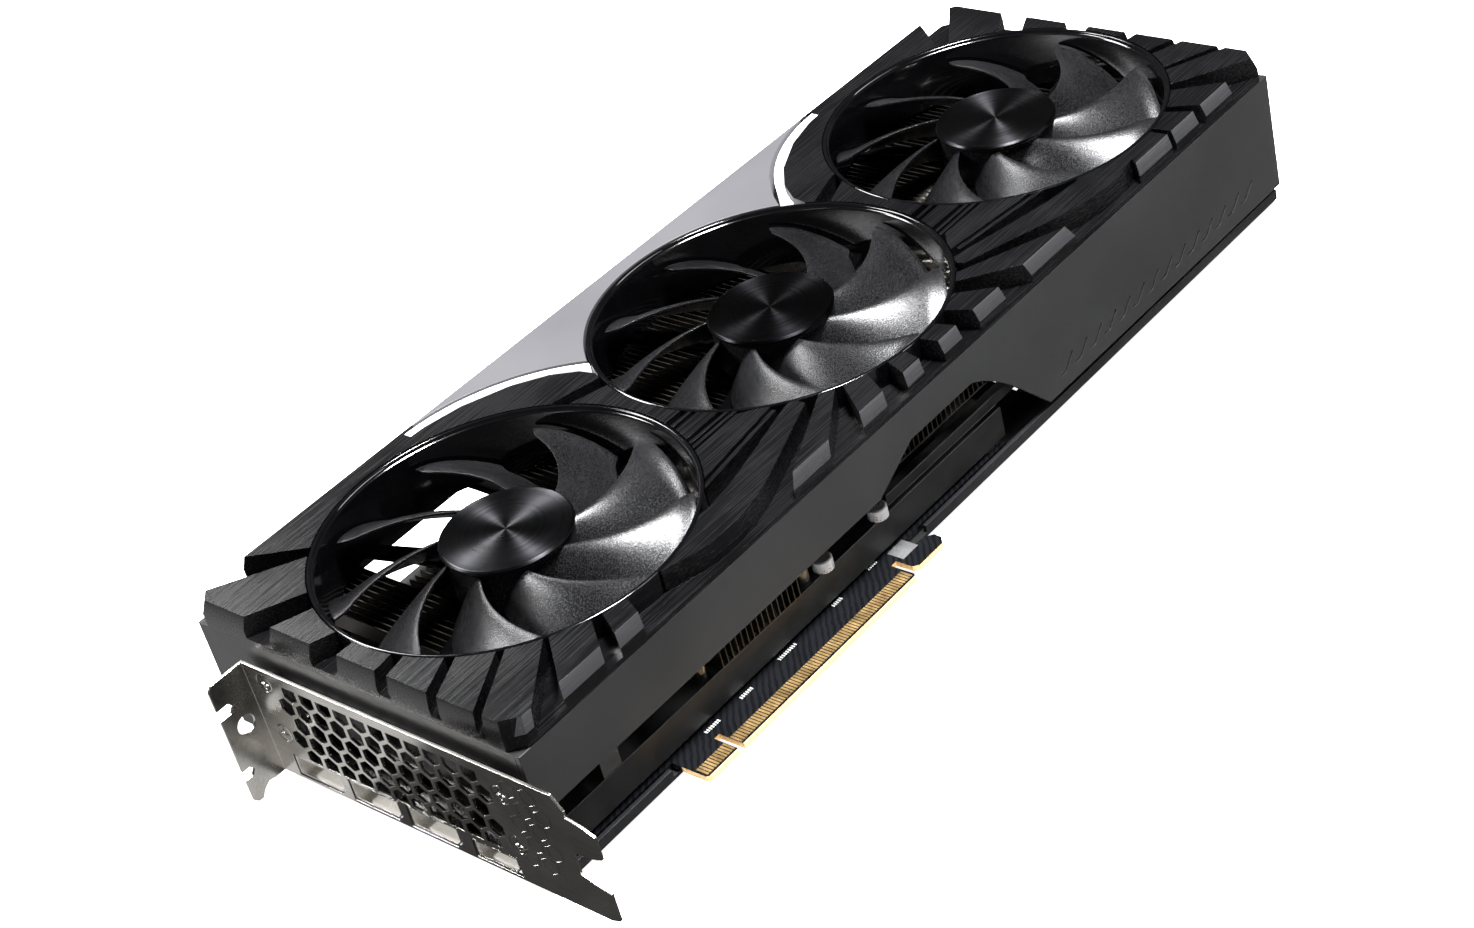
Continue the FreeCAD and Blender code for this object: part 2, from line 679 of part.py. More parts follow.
def build_back_fixings():
    """Flat-head screws round the chip and along the board, up into the cooler's posts."""
    reach = size("FrameTop") - size("FramePlate") - 1
    for node, places in (("gpu_screws", chip_bolts()), ("backplate_screws", POSTS)):
        screws = [flush_screw(eval_sizes(x), eval_sizes(y), reach) for x, y in places]
        keep(feature(node.title().replace("_", ""), Part.makeCompound(screws)), node)


# ---------------------------------------------------------------- cooler

def build_cooler_frame():
    """Stamped frame over the board: plate, side flanges, posts and pressed memory pads."""
    owner = body("CoolerFrame")
    half = "PackageSide / 2"
    under = "FrameTop - FramePlate"
    plate = sketch(owner, "FrameOutline", "XY_Plane", under)
    add_outline(plate, rectangle("FrameNear", "FrameLow", "FrameFar", "FrameHigh"))
    pad(owner, "FramePad", plate, "FramePlate")
    flanges = sketch(owner, "FlangeProfile", "XY_Plane", under)
    add_outline(flanges, rectangle("FrameNear", "FrameLow", "FrameFar", "FrameLow + FrameWall"))
    left = "FrameFar - 44"
    add_outline(flanges, rectangle("FrameNear", "FrameHigh - FrameWall", left, "FrameHigh"))
    add_outline(flanges, rectangle("FrameFar - 21", "FrameHigh - FrameWall", "FrameFar", "FrameHigh"))
    pad(owner, "FlangePad", flanges, f"{under} - 0.9", reverse=True)
    posts = sketch(owner, "PostProfile", "XY_Plane", under)
    for x, y in POSTS + chip_bolts():
        add_circle(posts, x, y, "ScrewHead")
    pad(owner, "PostPad", posts, under, reverse=True)
    cover = sketch(owner, "SideWallProfile", "XY_Plane", "FrameTop")
    add_outline(cover, rectangle("FrameFar - 49", "FrameLow + 1.6", "FrameFar + 14", "FrameLow + 4.6"))
    pad(owner, "SideWallPad", cover, "3.4")
    pressed = sketch(owner, "PressedProfile", "XY_Plane", under)
    for x0, x1 in ((f"ChipX - {half} - 16", f"ChipX - {half} - 4"),
                   (f"ChipX + {half} + 4", f"ChipX + {half} + 16")):
        add_outline(pressed, rectangle(x0, "ChipY - 24", x1, "ChipY + 24"))
    pad(owner, "PressedPad", pressed, f"{under} - 2.1", reverse=True)
    window = sketch(owner, "FrameWindow", "XY_Plane", "FrameTop")
    add_outline(window, rectangle("ChipX - 23.5", "ChipY - PlateSide / 2 - 0.5",
                                  "ChipX + 23.5", "ChipY + PlateSide / 2 + 0.5"))
    add_outline(window, rectangle("FrameFar - 44", "PcbHigh - 12.4", "FrameFar - 21", "FrameHigh + 1"))
    pocket(owner, "FrameWindowCut", window, "FramePlate + 0.01", reverse=False)
    drill = sketch(owner, "PostDrill", "XY_Plane", "0")
    for x, y in POSTS + chip_bolts():
        add_circle(drill, x, y, "ScrewShank - 0.2")
    pocket(owner, "PostDrillCut", drill, under, reverse=True)
    keep(owner, "cooler_frame")


def pipe_path(y):
    """Centre line of one heat pipe: low over the chip, then up into the far fins."""
    low, high = size("PipeLow"), size("PipeHigh")
    rise = high - low
    bend = 14.0
    slope = math.radians(26)
    flat = bend * math.tan(slope / 2)
    start = Vector(size("ChipX") - 58, y, low)
    knee = Vector(size("ChipX") + 44, y, low)
    crest = Vector(knee.x + rise / math.tan(slope), y, high)
    finish = Vector(size("CoverFar") - 24, y, high)
    along = Vector(math.cos(slope), 0, math.sin(slope))
    a, b = knee - Vector(flat, 0, 0), knee + along * flat
    c, d = crest - along * flat, crest + Vector(flat, 0, 0)
    turn = bend * (1 - math.cos(slope / 2))
    dip = Vector(a.x + bend * math.sin(slope / 2), y, a.z + turn)
    top = Vector(d.x - bend * math.sin(slope / 2), y, d.z - turn)
    edges = [Part.LineSegment(start, a), Part.Arc(a, dip, b), Part.LineSegment(b, c),
             Part.Arc(c, top, d), Part.LineSegment(d, finish)]
    return Part.Wire([edge.toShape() for edge in edges])


def pipe_shapes():
    """Heat pipes side by side across the cold plate."""
    pipes = []
    for i in range(5):
        y = size("ChipY") + (i - 2) * size("PipePitch")
        path = pipe_path(y)
        start = path.OrderedVertexes[0].Point
        ring = Part.Wire(Part.Circle(start, Vector(1, 0, 0), size("PipeRadius")).toShape())
        pipes.append(path.makePipeShell([ring], True, True))
    return pipes


def comb(x0, x1, low, high, y0, y1):
    """Upright fins joined by their folded lower hems, as one stack."""
    pitch, thin, hem = size("FinPitch"), size("FinThickness"), 0.4
    count = int((x1 - x0 - thin) / pitch) + 1
    outline = [(x0, low)]
    for i in range(count):
        x = x0 + i * pitch
        outline += [(x, high), (x + thin, high), (x + thin, low + hem)]
        if i < count - 1:
            outline.append((x + pitch, low + hem))
    outline.append((x0 + (count - 1) * pitch + thin, low))
    corners = [Vector(x, y0, z) for x, z in outline]
    return Part.Face(Part.makePolygon(corners + corners[:1])).extrude(Vector(0, y1 - y0, 0))


def build_cooler():
    """Cold plate, heat pipes, two fin stacks and the posts between them."""
    build_cooler_frame()
    pipes = pipe_shapes()
    lower = size("PackageThickness") + size("DieThickness")
    side, x, y = size("PlateSide"), size("ChipX"), size("ChipY")
    plate = block(x - 23, y - side / 2, lower, 46, side, size("PlateHigh") - lower)
    for pipe in pipes:
        plate = plate.cut(pipe)
    keep(feature("ColdPlate", plate), "cold_plate")
    keep(feature("Pipes", Part.makeCompound(pipes)), "heat_pipes")
    low, high = size("FinBottom"), size("FinTop")
    y0, y1 = size("FrameLow") - 0.9, size("FrameHigh") + 0.9
    near = comb(30, size("PcbFar") + 16, low, high, y0, y1)
    near = near.cut(block(48, size("FrameHigh") - 22.5, low - 1, 42, 30, high - low + 2))
    for floor in (block(29, y0 + 9.4, low - 1, size("PcbFar"), 18, 1.45),
                  block(29, y1 - 47.4, low - 1, size("PcbFar"), 18, 1.45)):
        near = near.cut(floor)
    deep = comb(70, 102, size("FrameTop") + 0.5, low + 0.4, y0, y0 + 18.4)
    near = near.fuse(deep)
    tubes = Part.makeCompound(pipes)
    keep(feature("FinsNear", near.cut(tubes)), "fin_stack_main")
    far = comb(size("PcbFar") + 22, size("CoverFar") - 9, low - 9, high, y0, y1)
    far = far.cut(block(size("PcbFar") + 20, y0 + 9.4, low - 10, 200, y1 - y0 - 18.8, 1.45))
    keep(feature("FinsFar", far.cut(tubes)), "fin_stack_far")
    stands = []
    for i, (px, py) in enumerate((("66", "FrameLow + 4"), ("107", "FrameLow + 4"),
                                  ("107", "FrameHigh - 6"), ("34", "FrameHigh - 6"))):
        stands.append(cylinder(f"Stand{i}", px, py, "FrameTop", "2.2", "FinBottom - FrameTop"))
    keep(group("Stands", stands), "fin_standoffs")


# ---------------------------------------------------------------- fans

BLADES = 9
BLADE_SWEEP = 43.0
BLADE_SPAN = 30.0
# turn of each rotor in degrees, measured to one blade's tip
FAN_PHASE = {1: 37.3, 2: 41.7, 3: 54.7}


def blade_section(share):
    """One flat cross-section of a blade, at a share of the way from hub to tip."""
    root, tip = size("HubRadius") - 0.8, size("RotorRadius") + 2
    radius = root + (tip - root) * share
    lead = BLADE_SWEEP * share ** 0.85 - 5.0 * max(0.0, share - 0.8) / 0.2
    span = BLADE_SPAN * (1.0 - 0.12 * share)
    middle = math.radians(lead - span / 2)
    half = radius * math.tan(math.radians(span / 2))
    top, thick = size("HubTop") - 0.9 - 1.0 * share, size("BladeThickness")
    fall = size("BladeHeight") * (1.0 - 0.12 * share)
    out = Vector(math.cos(middle), math.sin(middle), 0)
    side = Vector(-math.sin(middle), math.cos(middle), 0)

    def spot(t, lift):
        bow = 0.9 * 4 * t * (1 - t)
        height = top - fall * t ** 1.35 + bow + lift
        return out * radius + side * (half * (1 - 2 * t)) + Vector(0, 0, height)

    steps = (0.0, 0.25, 0.5, 0.75, 1.0)
    upper, under = Part.BSplineCurve(), Part.BSplineCurve()
    body_lift = [-thick * (0.45 + 0.9 * t * (1 - t) * 2) for t in steps]
    upper.interpolate([spot(t, 0.0) for t in steps])
    under.interpolate([spot(t, lift) for t, lift in zip(reversed(steps), reversed(body_lift))])
    edges = [upper.toShape(), Part.LineSegment(spot(1.0, 0.0), spot(1.0, body_lift[-1])).toShape(),
             under.toShape(), Part.LineSegment(spot(0.0, body_lift[0]), spot(0.0, 0.0)).toShape()]
    return Part.Wire(edges)


def rotor_shape():
    """Hub cup with its swept blades, centred on the Z axis."""
    hub, wall = size("HubRadius"), size("HubWall")
    top = size("HubTop")
    foot = size("FanFloor") + size("FanBase") + 1.2
    cup = drum(0, 0, foot, hub, top - foot).cut(drum(0, 0, foot - 1, hub - wall, top - foot - 0.6))
    cup = cup.cut(drum(0, 0, foot, size("ShaftRadius"), top - foot - 0.2))
    blade = Part.makeLoft([blade_section(i / 4) for i in range(5)], True, False)
    limit = drum(0, 0, foot - 20, size("RotorRadius"), 60)
    room = drum(0, 0, foot - 20, hub - wall / 2, 60)
    blade = blade.common(limit).cut(room)
    shape = cup
    for i in range(BLADES):
        turned = blade.copy()
        turned.rotate(Vector(0, 0, 0), Vector(0, 0, 1), 360 / BLADES * i)
        shape = shape.fuse(turned)
    shape = shape.removeSplitter()
    return shape.Solids[0] if len(shape.Solids) == 1 else shape


def ring_body(number):
    """Static fan housing: rounded ring, base disc, struts, ears and bearing tube."""
    owner = body(f"Housing{number}")
    tag, centre = owner.Name, (fan_x(number), "FanMiddle")
    ring = sketch(owner, tag + "Ring", "XY_Plane", "FanFloor", centre)
    add_circle(ring, "0", "0", "RingOuter")
    add_circle(ring, "0", "0", "RingInner")
    pad(owner, tag + "RingPad", ring, "FaceTop - FanFloor")
    strut = sketch(owner, tag + "Strut", "XY_Plane", "FanFloor", centre)
    add_outline(strut, [("HubRadius - 2", "-2.6"), ("RingInner + 0.4", "8.4"),
                        ("RingInner - 0.6", "12.4"), ("HubRadius - 3", "3.4")])
    arm = pad(owner, tag + "StrutPad", strut, "FanBase + 0.8")
    repeat_round(owner, tag + "Struts", arm, strut, 4)
    ear = sketch(owner, tag + "Ear", "XY_Plane", "Seam - 2.4", centre)
    add_outline(ear, [("(RingOuter - 0.9) * 0.70710678 - 3", "(RingOuter - 0.9) * 0.70710678 + 3"),
                      ("(RingOuter - 0.9) * 0.70710678 + 3", "(RingOuter - 0.9) * 0.70710678 - 3"),
                      ("(RingOuter + 4.6) * 0.70710678 + 2.2", "(RingOuter + 4.6) * 0.70710678 - 2.2"),
                      ("(RingOuter + 4.6) * 0.70710678 - 2.2", "(RingOuter + 4.6) * 0.70710678 + 2.2")])
    lug = pad(owner, tag + "EarPad", ear, "2.4")
    repeat_round(owner, tag + "Ears", lug, ear, 4)
    drill = sketch(owner, tag + "EarDrill", "XY_Plane", "Seam", centre)
    for a in ("1", "-1"):
        for b in ("1", "-1"):
            add_circle(drill, f"{a} * (RingOuter + EarReach) * 0.70710678", f"{b} * (RingOuter + EarReach) * 0.70710678",
                       "EarScrew")
    pocket(owner, tag + "EarDrillCut", drill, "2.4")
    well = sketch(owner, tag + "Well", "XY_Plane", "FanFloor + FanBase + 1", centre)
    add_circle(well, "0", "0", "RingInner")
    pocket(owner, tag + "WellCut", well, "FanDepth", reverse=True)
    base = sketch(owner, tag + "Base", "XY_Plane", "FanFloor", centre)
    add_circle(base, "0", "0", "HubRadius")
    pad(owner, tag + "BasePad", base, "FanBase")
    tube = sketch(owner, tag + "Tube", "XY_Plane", "FanFloor", centre)
    add_circle(tube, "0", "0", "ShaftRadius + BearingWall")
    pad(owner, tag + "TubePad", tube, "FanDepth - 6.2")
    bore = sketch(owner, tag + "Bore", "XY_Plane", "FanFloor + FanBase", centre)
    add_circle(bore, "0", "0", "ShaftRadius + RunningGap")
    pocket(owner, tag + "BoreCut", bore, "FanDepth", reverse=True)
    return keep(owner, f"fan_frame_{number}")


def build_fans():
    """Three fans: housing, stator, rotor, magnet ring, shaft and hub cap each."""
    rotor = rotor_shape()
    foot = "FanFloor + FanBase"
    for number in FANS:
        housing = ring_body(number)
        cx, cy = fan_centre(number)
        place = Placement(Vector(cx, cy, 0), Rotation(Vector(0, 0, 1), FAN_PHASE[number] - 38.0))
        keep(feature(f"Rotor{number}", rotor, place), f"fan_rotor_{number}")
        x, y = fan_x(number), "FanMiddle"
        keep(cylinder(f"Cap{number}", x, y, "HubTop", "CapRadius", "CapThickness"), f"hub_cap_{number}")
        magnet = "HubRadius - HubWall"
        outer = cylinder(f"MagnetOuter{number}", x, y, f"{foot} + 1.6", magnet, "6.5")
        inner = cylinder(f"MagnetInner{number}", x, y, f"{foot} + 1", f"{magnet} - MagnetWall", "8")
        keep(cut(f"Magnet{number}", outer, inner), f"magnet_ring_{number}")
        keep(cylinder(f"Shaft{number}", x, y, f"{foot} + 0.4", "ShaftRadius",
                      f"HubTop - 0.8 - ({foot} + 0.4)"), f"fan_shaft_{number}")
        core = cylinder(f"CoreOuter{number}", x, y, foot, f"{magnet} - MagnetWall - AirGap", "6.8")
        room = cylinder(f"CoreRoom{number}", x, y, f"{foot} - 1", "ShaftRadius + BearingWall", "9")
        keep(cut(f"Stator{number}", core, room), f"fan_stator_{number}")


def ear_screws(low, radius, height):
    """One upright drum at every screw place of the fan housings' ears."""
    reach = (size("RingOuter") + size("EarReach")) * math.sqrt(0.5)
    places = [(cx + a * reach, cy + b * reach) for cx, cy in map(fan_centre, FANS)
              for a in (-1, 1) for b in (-1, 1)]
    return [drum(x, y, low, radius, height) for x, y in places]


def build_fan_screws():
    """Screws that hold each fan housing's ears up to the fascia."""
    low, thin = size("Seam") - 2.4, size("EarScrew")
    heads, shanks = ear_screws(low - 1.0, 2 * thin, 1.0), ear_screws(low, thin, 3.2)
    keep(feature("FanScrews", Part.makeCompound([h.fuse(s) for h, s in zip(heads, shanks)])), "fan_screws")


# ---------------------------------------------------------------- covers

# Raised blocks of the fascia round one fan, in degrees from the fan's own centre: where the
# block's two sides meet the card's edge, then where they meet the fan ring.
NEAR_BLOCKS = [(134.6, 146.8, 127.5, 145.7), (154.4, 167.3, 154.2, 170.1), (177.4, 190.9, 177.5, 192.0),
               (195.0, 207.0, 196.0, 208.0), (209.7, 218.1, 211.3, 222.8), (219.8, 228.5, 225.4, 236.0),
               (234.7, 245.2, 236.6, 249.4), (249.9, 257.6, 252.2, 260.4)]
MIDDLE_BLOCKS = [(222.9, 230.8, 236.0, 240.8), (240.0, 248.0, 242.0, 250.0), (255.9, 262.6, 257.5, 264.0),
                 (271.4, 279.2, 270.0, 278.0), (286.6, 296.8, 285.0, 293.5), (305.4, 317.1, 299.8, 304.0)]
FAR_BLOCKS = [(258.0, 274.5, 262.0, 275.0), (276.5, 287.7, 277.0, 287.0), (291.2, 302.1, 290.0, 301.0),
              (311.5, 320.2, 304.0, 314.6), (321.9, 330.3, 317.2, 328.7), (333.0, 345.0, 332.0, 344.0),
              (349.1, 362.6, 348.0, 362.5), (372.7, 385.6, 369.9, 385.8), (393.2, 405.4, 394.3, 412.5)]


def mirror_middle(points):
    """The same points on the far side of the middle fan."""
    middle = fan_centre(2)[0]
    return [(2 * middle - x, y) for x, y in reversed(points)]


def near_point(dx, dy):
    """A point given from the first fan's centre, on a ring of the nominal size."""
    cx, cy = fan_centre(1)
    k = size("RingOuter") / 51.4
    return cx + dx * k, cy + dy * k


def wedge(number, angles):
    """Outline of one raised block from its two edge angles and two ring angles."""
    cx, cy = fan_centre(number)
    edge_a, edge_b, ring_a, ring_b = [math.radians(a) for a in angles]
    inner = size("RingOuter") - 3
    half_y = size("RingOuter") + size("SideMargin") + 0.5
    reach = size("RingOuter") + size("NearMargin") + 0.5

    def edge(angle):
        wide = abs(half_y / math.sin(angle)) if abs(math.sin(angle)) > 1e-6 else 1e9
        long_side = abs(reach / math.cos(angle)) if abs(math.cos(angle)) > 1e-6 else 1e9
        far = wide if number == 2 else min(wide, long_side)
        return cx + far * math.cos(angle), cy + far * math.sin(angle)

    def ring(angle):
        return cx + inner * math.cos(angle), cy + inner * math.sin(angle)

    corner = []
    for quarter in (math.pi * 0.75, math.pi * 1.25, math.pi * 1.75, math.pi * 2.25):
        if number != 2 and edge_a < quarter < edge_b:
            corner = [(cx + math.copysign(reach, math.cos(quarter)),
                       cy + math.copysign(half_y, math.sin(quarter)))]
    return [ring(ring_a), edge(edge_a)] + corner + [edge(edge_b), ring(ring_b)]


def between_outlines():
    """Blocks, leaf and ribs between the first two fans, from the first fan's centre."""
    rows = [
        # block beside the light strip, above the rings' neck
        [(-41.8, 60.0), (22.0, 60.0), (22.2, 52.9), (34.2, 49.8), (47.2, 43.1), (55.4, 36.0),
         (60.0, 29.0), (61.5, 20.8), (46.0, 25.6), (20.0, 20.0), (-20.0, 30.0)],
        [(45.0, 21.5), (62.0, 15.2), (62.0, -11.2), (45.0, -10.8)],
        [(45.0, -15.6), (62.0, -15.8), (62.0, -21.3), (42.0, -21.3)],
        [(38.0, -27.0), (61.0, -26.7), (68.0, -33.0), (34.0, -37.4), (28.0, -37.0)],
        # long leaf under the first ring
        [(2.0, -52.0), (6.2, -53.4), (9.7, -54.6), (13.3, -55.6), (16.8, -56.2), (21.4, -56.5),
         (25.6, -56.4), (29.2, -56.0), (35.5, -54.8), (43.2, -52.4), (52.0, -48.9), (63.7, -44.2),
         (72.0, -41.0), (72.0, -36.2), (66.0, -37.4), (51.8, -41.2), (38.3, -44.6), (26.0, -46.4),
         (0.0, -40.0)],
        # narrow ribs between the blocks
        [(43.0, -13.0), (62.0, -13.4), (62.0, -14.5), (43.0, -14.1)],
        [(40.0, -22.6), (62.0, -23.0), (62.0, -24.0), (40.0, -23.6)],
        [(38.0, -24.6), (62.0, -25.0), (62.0, -26.0), (38.0, -25.7)],
        [(30.0, -39.3), (66.0, -34.4), (66.5, -35.6), (30.0, -40.5)],
    ]
    return [[near_point(x, y) for x, y in row] for row in rows]


def light_circle():
    """Centre and radius of the arc that the first light strip follows."""
    line = [near_point(22.2, 54.1), near_point(47.8, 44.5), near_point(62.6, 29.0)]
    curve = Part.Arc(*[Vector(x, y, 0) for x, y in line]).toShape().Curve
    return curve.Center.x, curve.Center.y, curve.Radius


def mirrored(shape):
    """The same shape on the far side of the middle fan."""
    return shape.mirror(Vector(fan_centre(2)[0], 0, 0), Vector(1, 0, 0))


def light_band(inner, outer, low, high):
    """Curved upright band along the first light strip, between two offsets from its line."""
    x, y, radius = light_circle()
    band = drum(x, y, low, radius + outer, high - low).cut(drum(x, y, low - 1, radius + inner, high - low + 2))
    left, _ = near_point(18.0, 0)
    _, foot = near_point(0, 16.0)
    return band.common(block(left, foot, low - 1, 120, 120, high - low + 2))


def panel_form(low, high, gap):
    """Upright form over the accent panel, between the two light strips."""
    x, y, radius = light_circle()
    left, foot = near_point(22.0, 24.0)
    middle = fan_centre(2)[0]
    form = block(left, foot, low, 2 * (middle - left), 80, high - low)
    disc = drum(x, y, low - 1, radius + 2.3 + gap, high - low + 2)
    return form.cut(disc).cut(mirrored(disc))


def envelope():
    """Outer form of the fascia: upright to the bevel, then leaning in to the face."""
    x0, x1 = size("CoverNear"), size("CoverFar")
    y0, y1 = size("CoverLow"), size("CoverHigh")
    seam, face = size("Seam"), size("FaceTop")
    shoulder, lean, cant = face - size("BevelDrop"), size("EdgeBevel"), 4.0

    def loop(inset, z):
        a, b, c, d = x0 + inset, x1 - inset, y0 + inset, y1 - inset
        corners = [(a + cant, c), (b - cant, c), (b, c + cant), (b, d - cant), (b - cant, d),
                   (a + cant, d), (a, d - cant), (a, c + cant)]
        return [Vector(x, y, z) for x, y in corners]

    rings = [loop(0, seam), loop(0, shoulder), loop(lean, face)]
    faces = [Part.Face(Part.makePolygon(ring + ring[:1])) for ring in (rings[0], rings[-1])]
    for low, high in zip(rings, rings[1:]):
        for i in range(len(low)):
            j = (i + 1) % len(low)
            quad = [low[i], low[j], high[j], high[i], low[i]]
            faces.append(Part.Face(Part.makePolygon(quad)))
    return Part.Solid(Part.Shell(faces))


def ring_space(extra):
    """Room for the three fan housings, with a gap all round."""
    holes = [drum(*fan_centre(n), size("FanFloor") - 1, size("RingOuter") + extra, 60) for n in FANS]
    return Part.makeCompound(holes)


def build_covers():
    """Fascia with raised blocks, accent panel, light strips and the four side walls."""
    seam, floor_top, face = size("Seam"), size("FloorTop"), size("FaceTop")
    form = envelope()
    outlines = [wedge(1, a) for a in NEAR_BLOCKS]
    outlines += [wedge(2, a) for a in MIDDLE_BLOCKS]
    outlines += [wedge(3, a) for a in FAR_BLOCKS]
    shared = between_outlines()
    outlines += shared + [mirror_middle(p) for p in shared]
    raised = [prism(points, seam, face + 1) for points in outlines]
    slab = block(0, 0, seam - 1, size("CoverFar") + 5, size("CoverHigh") + 5, size("FasciaFloor") + 1)
    solid = form.common(slab.multiFuse(raised))
    half, gap = size("LightWidth") / 2, size("PanelGap")
    shelf = floor_top - 0.6
    groove = light_band(-half - 0.15, 2.3, floor_top, face + 2)
    through = light_band(-half, half, seam - 1, face + 2)
    solid = solid.cut(ring_space(0.25))
    for tool in (groove, mirrored(groove), through, mirrored(through), panel_form(shelf, face + 2, 0)):
        solid = solid.cut(tool)
    solid = solid.cut(Part.makeCompound(ear_screws(seam - 1, size("EarScrew"), 1.8)))
    keep(feature("Fascia", solid), "fascia")
    panel = form.common(panel_form(shelf, face + 2, gap)).cut(ring_space(0.25 + gap))
    keep(feature("AccentPanel", panel), "accent_panel")
    inside = block(size("CoverNear") + 3, size("CoverLow") + 3, seam - 5,
                   size("CoverFar") - 9, size("CoverHigh") - size("CoverLow") - 6, 6)
    strip = light_band(-half, half, seam - 1.4, face + 2).common(form.fuse(inside)).cut(ring_space(0.4))
    keep(feature("LightNear", strip), "light_strip_near")
    keep(feature("LightFar", mirrored(strip)), "light_strip_far")
    board = light_band(-half - 1, half + 1, seam - 3, seam - 1.4).common(inside).cut(ring_space(0.4))
    keep(feature("LedBoards", Part.makeCompound([board, mirrored(board)])), "led_boards")
    build_walls()


def side_outline():
    """Profile of a long side wall: slot under the near part, cut-out, low far part."""
    x0, x1 = size("CoverNear"), size("CoverFar")
    foot, slot, seam = size("CoverFoot"), size("SlotTop"), size("Seam")
    knee = size("PcbFar")
    p = [Vector(x0, 0, seam), Vector(x0, 0, slot), Vector(knee - 54, 0, slot)]
    crest = slot + 8.5
    return p, knee, crest, x1, foot, seam


def long_wall(y, thick):
    """One long side wall with the curved cut-out that shows the fins."""
    p, knee, crest, x1, foot, seam = side_outline()
    a, b = Vector(knee - 54, 0, p[1].z), Vector(knee - 38, 0, crest)
    rise = Part.BSplineCurve()
    rise.interpolate([a, (a + b) * 0.5, b])
    c = Vector(knee - 11, 0, crest)
    d = Vector(knee + 19, 0, foot + 0.5)
    fall = Part.BSplineCurve()
    fall.interpolate([c, c + Vector(5, 0, -2.6), d + Vector(-5, 0, 5.2), d])
    e, f = Vector(x1, 0, foot), Vector(x1, 0, seam)
    edges = [Part.LineSegment(f, p[0]), Part.LineSegment(p[0], p[1]), Part.LineSegment(p[1], a), rise,
             Part.LineSegment(b, c), fall, Part.LineSegment(d, e), Part.LineSegment(e, f)]
    wire = Part.Wire([edge.toShape() for edge in edges])
    shape = Part.Face(wire).extrude(Vector(0, thick, 0))
    shape.translate(Vector(0, y, 0))
    return shape


def chevrons(y0, y1):
    """Row of shallow stepped grooves near the lower edge of the far part."""
    start, pitch, wide = size("PcbFar") + 25.5, 7.3, 0.7
    count = int((size("CoverFar") - 8 - start) / pitch)
    cuts = []
    for i in range(count):
        x, z = start + i * pitch, size("CoverFoot") + 5
        pts = [(x, z), (x + 2.6, z), (x + 6.6, z + 3.8), (x + 6.6, z + 3.8 + wide),
               (x + 6.2, z + 3.8 + wide), (x + 2.3, z + wide), (x, z + wide)]
        corners = [Vector(px, y0, pz) for px, pz in pts]
        cuts.append(Part.Face(Part.makePolygon(corners + corners[:1])).extrude(Vector(0, y1 - y0, 0)))
    return Part.makeCompound(cuts)


def build_walls():
    """The two long walls and the two end walls under the fascia."""
    thick = size("CoverWall")
    low, high = size("CoverLow"), size("CoverHigh")
    lower = long_wall(low, thick).cut(chevrons(low - 1, low + 0.5))
    keep(feature("SkirtLower", lower), "skirt_lower")
    upper = long_wall(high - thick, thick).cut(chevrons(high - 0.5, high + 1))
    keep(feature("SkirtUpper", upper), "skirt_upper")
    near = body("EndWallNear")
    face = sketch(near, "NearFace", "YZ_Plane", "CoverNear")
    add_outline(face, rectangle("CoverLow + CoverWall", "DisplayHeight + SocketBack + 1",
                                "CoverHigh - CoverWall", "Seam"))
    pad(near, "NearPad", face, "CoverWall")
    opening = sketch(near, "NearOpening", "YZ_Plane", "CoverNear")
    add_outline(opening, rectangle("HexFirst - HexPitch", "HexMid - 2.4 * HexRow",
                                   "HexFirst + 10.6 * HexPitch", "HexMid + 2.4 * HexRow"))
    for y, z in BRACKET_SCREWS:
        add_circle(opening, y, z, "ScrewShank")
    add_outline(opening, rectangle("CoverLow + CoverWall + 1.4", "FrameTop + 5.6",
                                   "CoverLow + CoverWall + 3.2", "FrameTop + 8.6"))
    pocket(near, "NearOpeningCut", opening)
    keep(near, "end_wall_near")
    far = body("EndWallFar")
    plate = sketch(far, "FarFace", "YZ_Plane", "CoverFar - CoverWall")
    add_outline(plate, rectangle("CoverLow + CoverWall", "CoverFoot", "CoverHigh - CoverWall", "Seam"))
    pad(far, "FarPad", plate, "CoverWall")
    keep(far, "end_wall_far")


# ---------------------------------------------------------------- build and write

def check_and_write():
    """Stops on any failed object or bad shape, then writes one STEP file per piece."""
    doc.recompute()
    for item in doc.Objects:
        if {"Invalid", "Error"} & set(item.State):
            raise RuntimeError(f"{item.Name} failed: {item.State}")
    os.makedirs("parts", exist_ok=True)
    for item in PARTS:
        if item.Shape.isNull() or not item.Shape.isValid():
            raise RuntimeError(f"{item.Label} has no valid shape")
        item.Shape.exportStep(f"parts/{item.Label}.step")
    print(len(PARTS), "pieces written")


def main():
    """Builds every sub-assembly and writes it."""
    build_board()
    build_contacts()
    build_chips()
    build_power_header()
    build_sockets()
    build_bracket()
    build_bracket_fixings()
    build_backplate()
    build_back_fixings()
    build_cooler()
    build_fans()
    build_fan_screws()
    build_covers()
    check_and_write()


main()
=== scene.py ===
"""Triple-fan graphics card, dressed for a studio picture.

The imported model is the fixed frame.  Each sub-assembly is a class with its own sizes, in
millimetres, and each finish is a frozen dataclass that builds one procedural material.
"""

from __future__ import annotations

import json
import logging
import math
from dataclasses import dataclass
from enum import Enum
from typing import Sequence

import bmesh
import bpy
from mathutils import Matrix, Vector

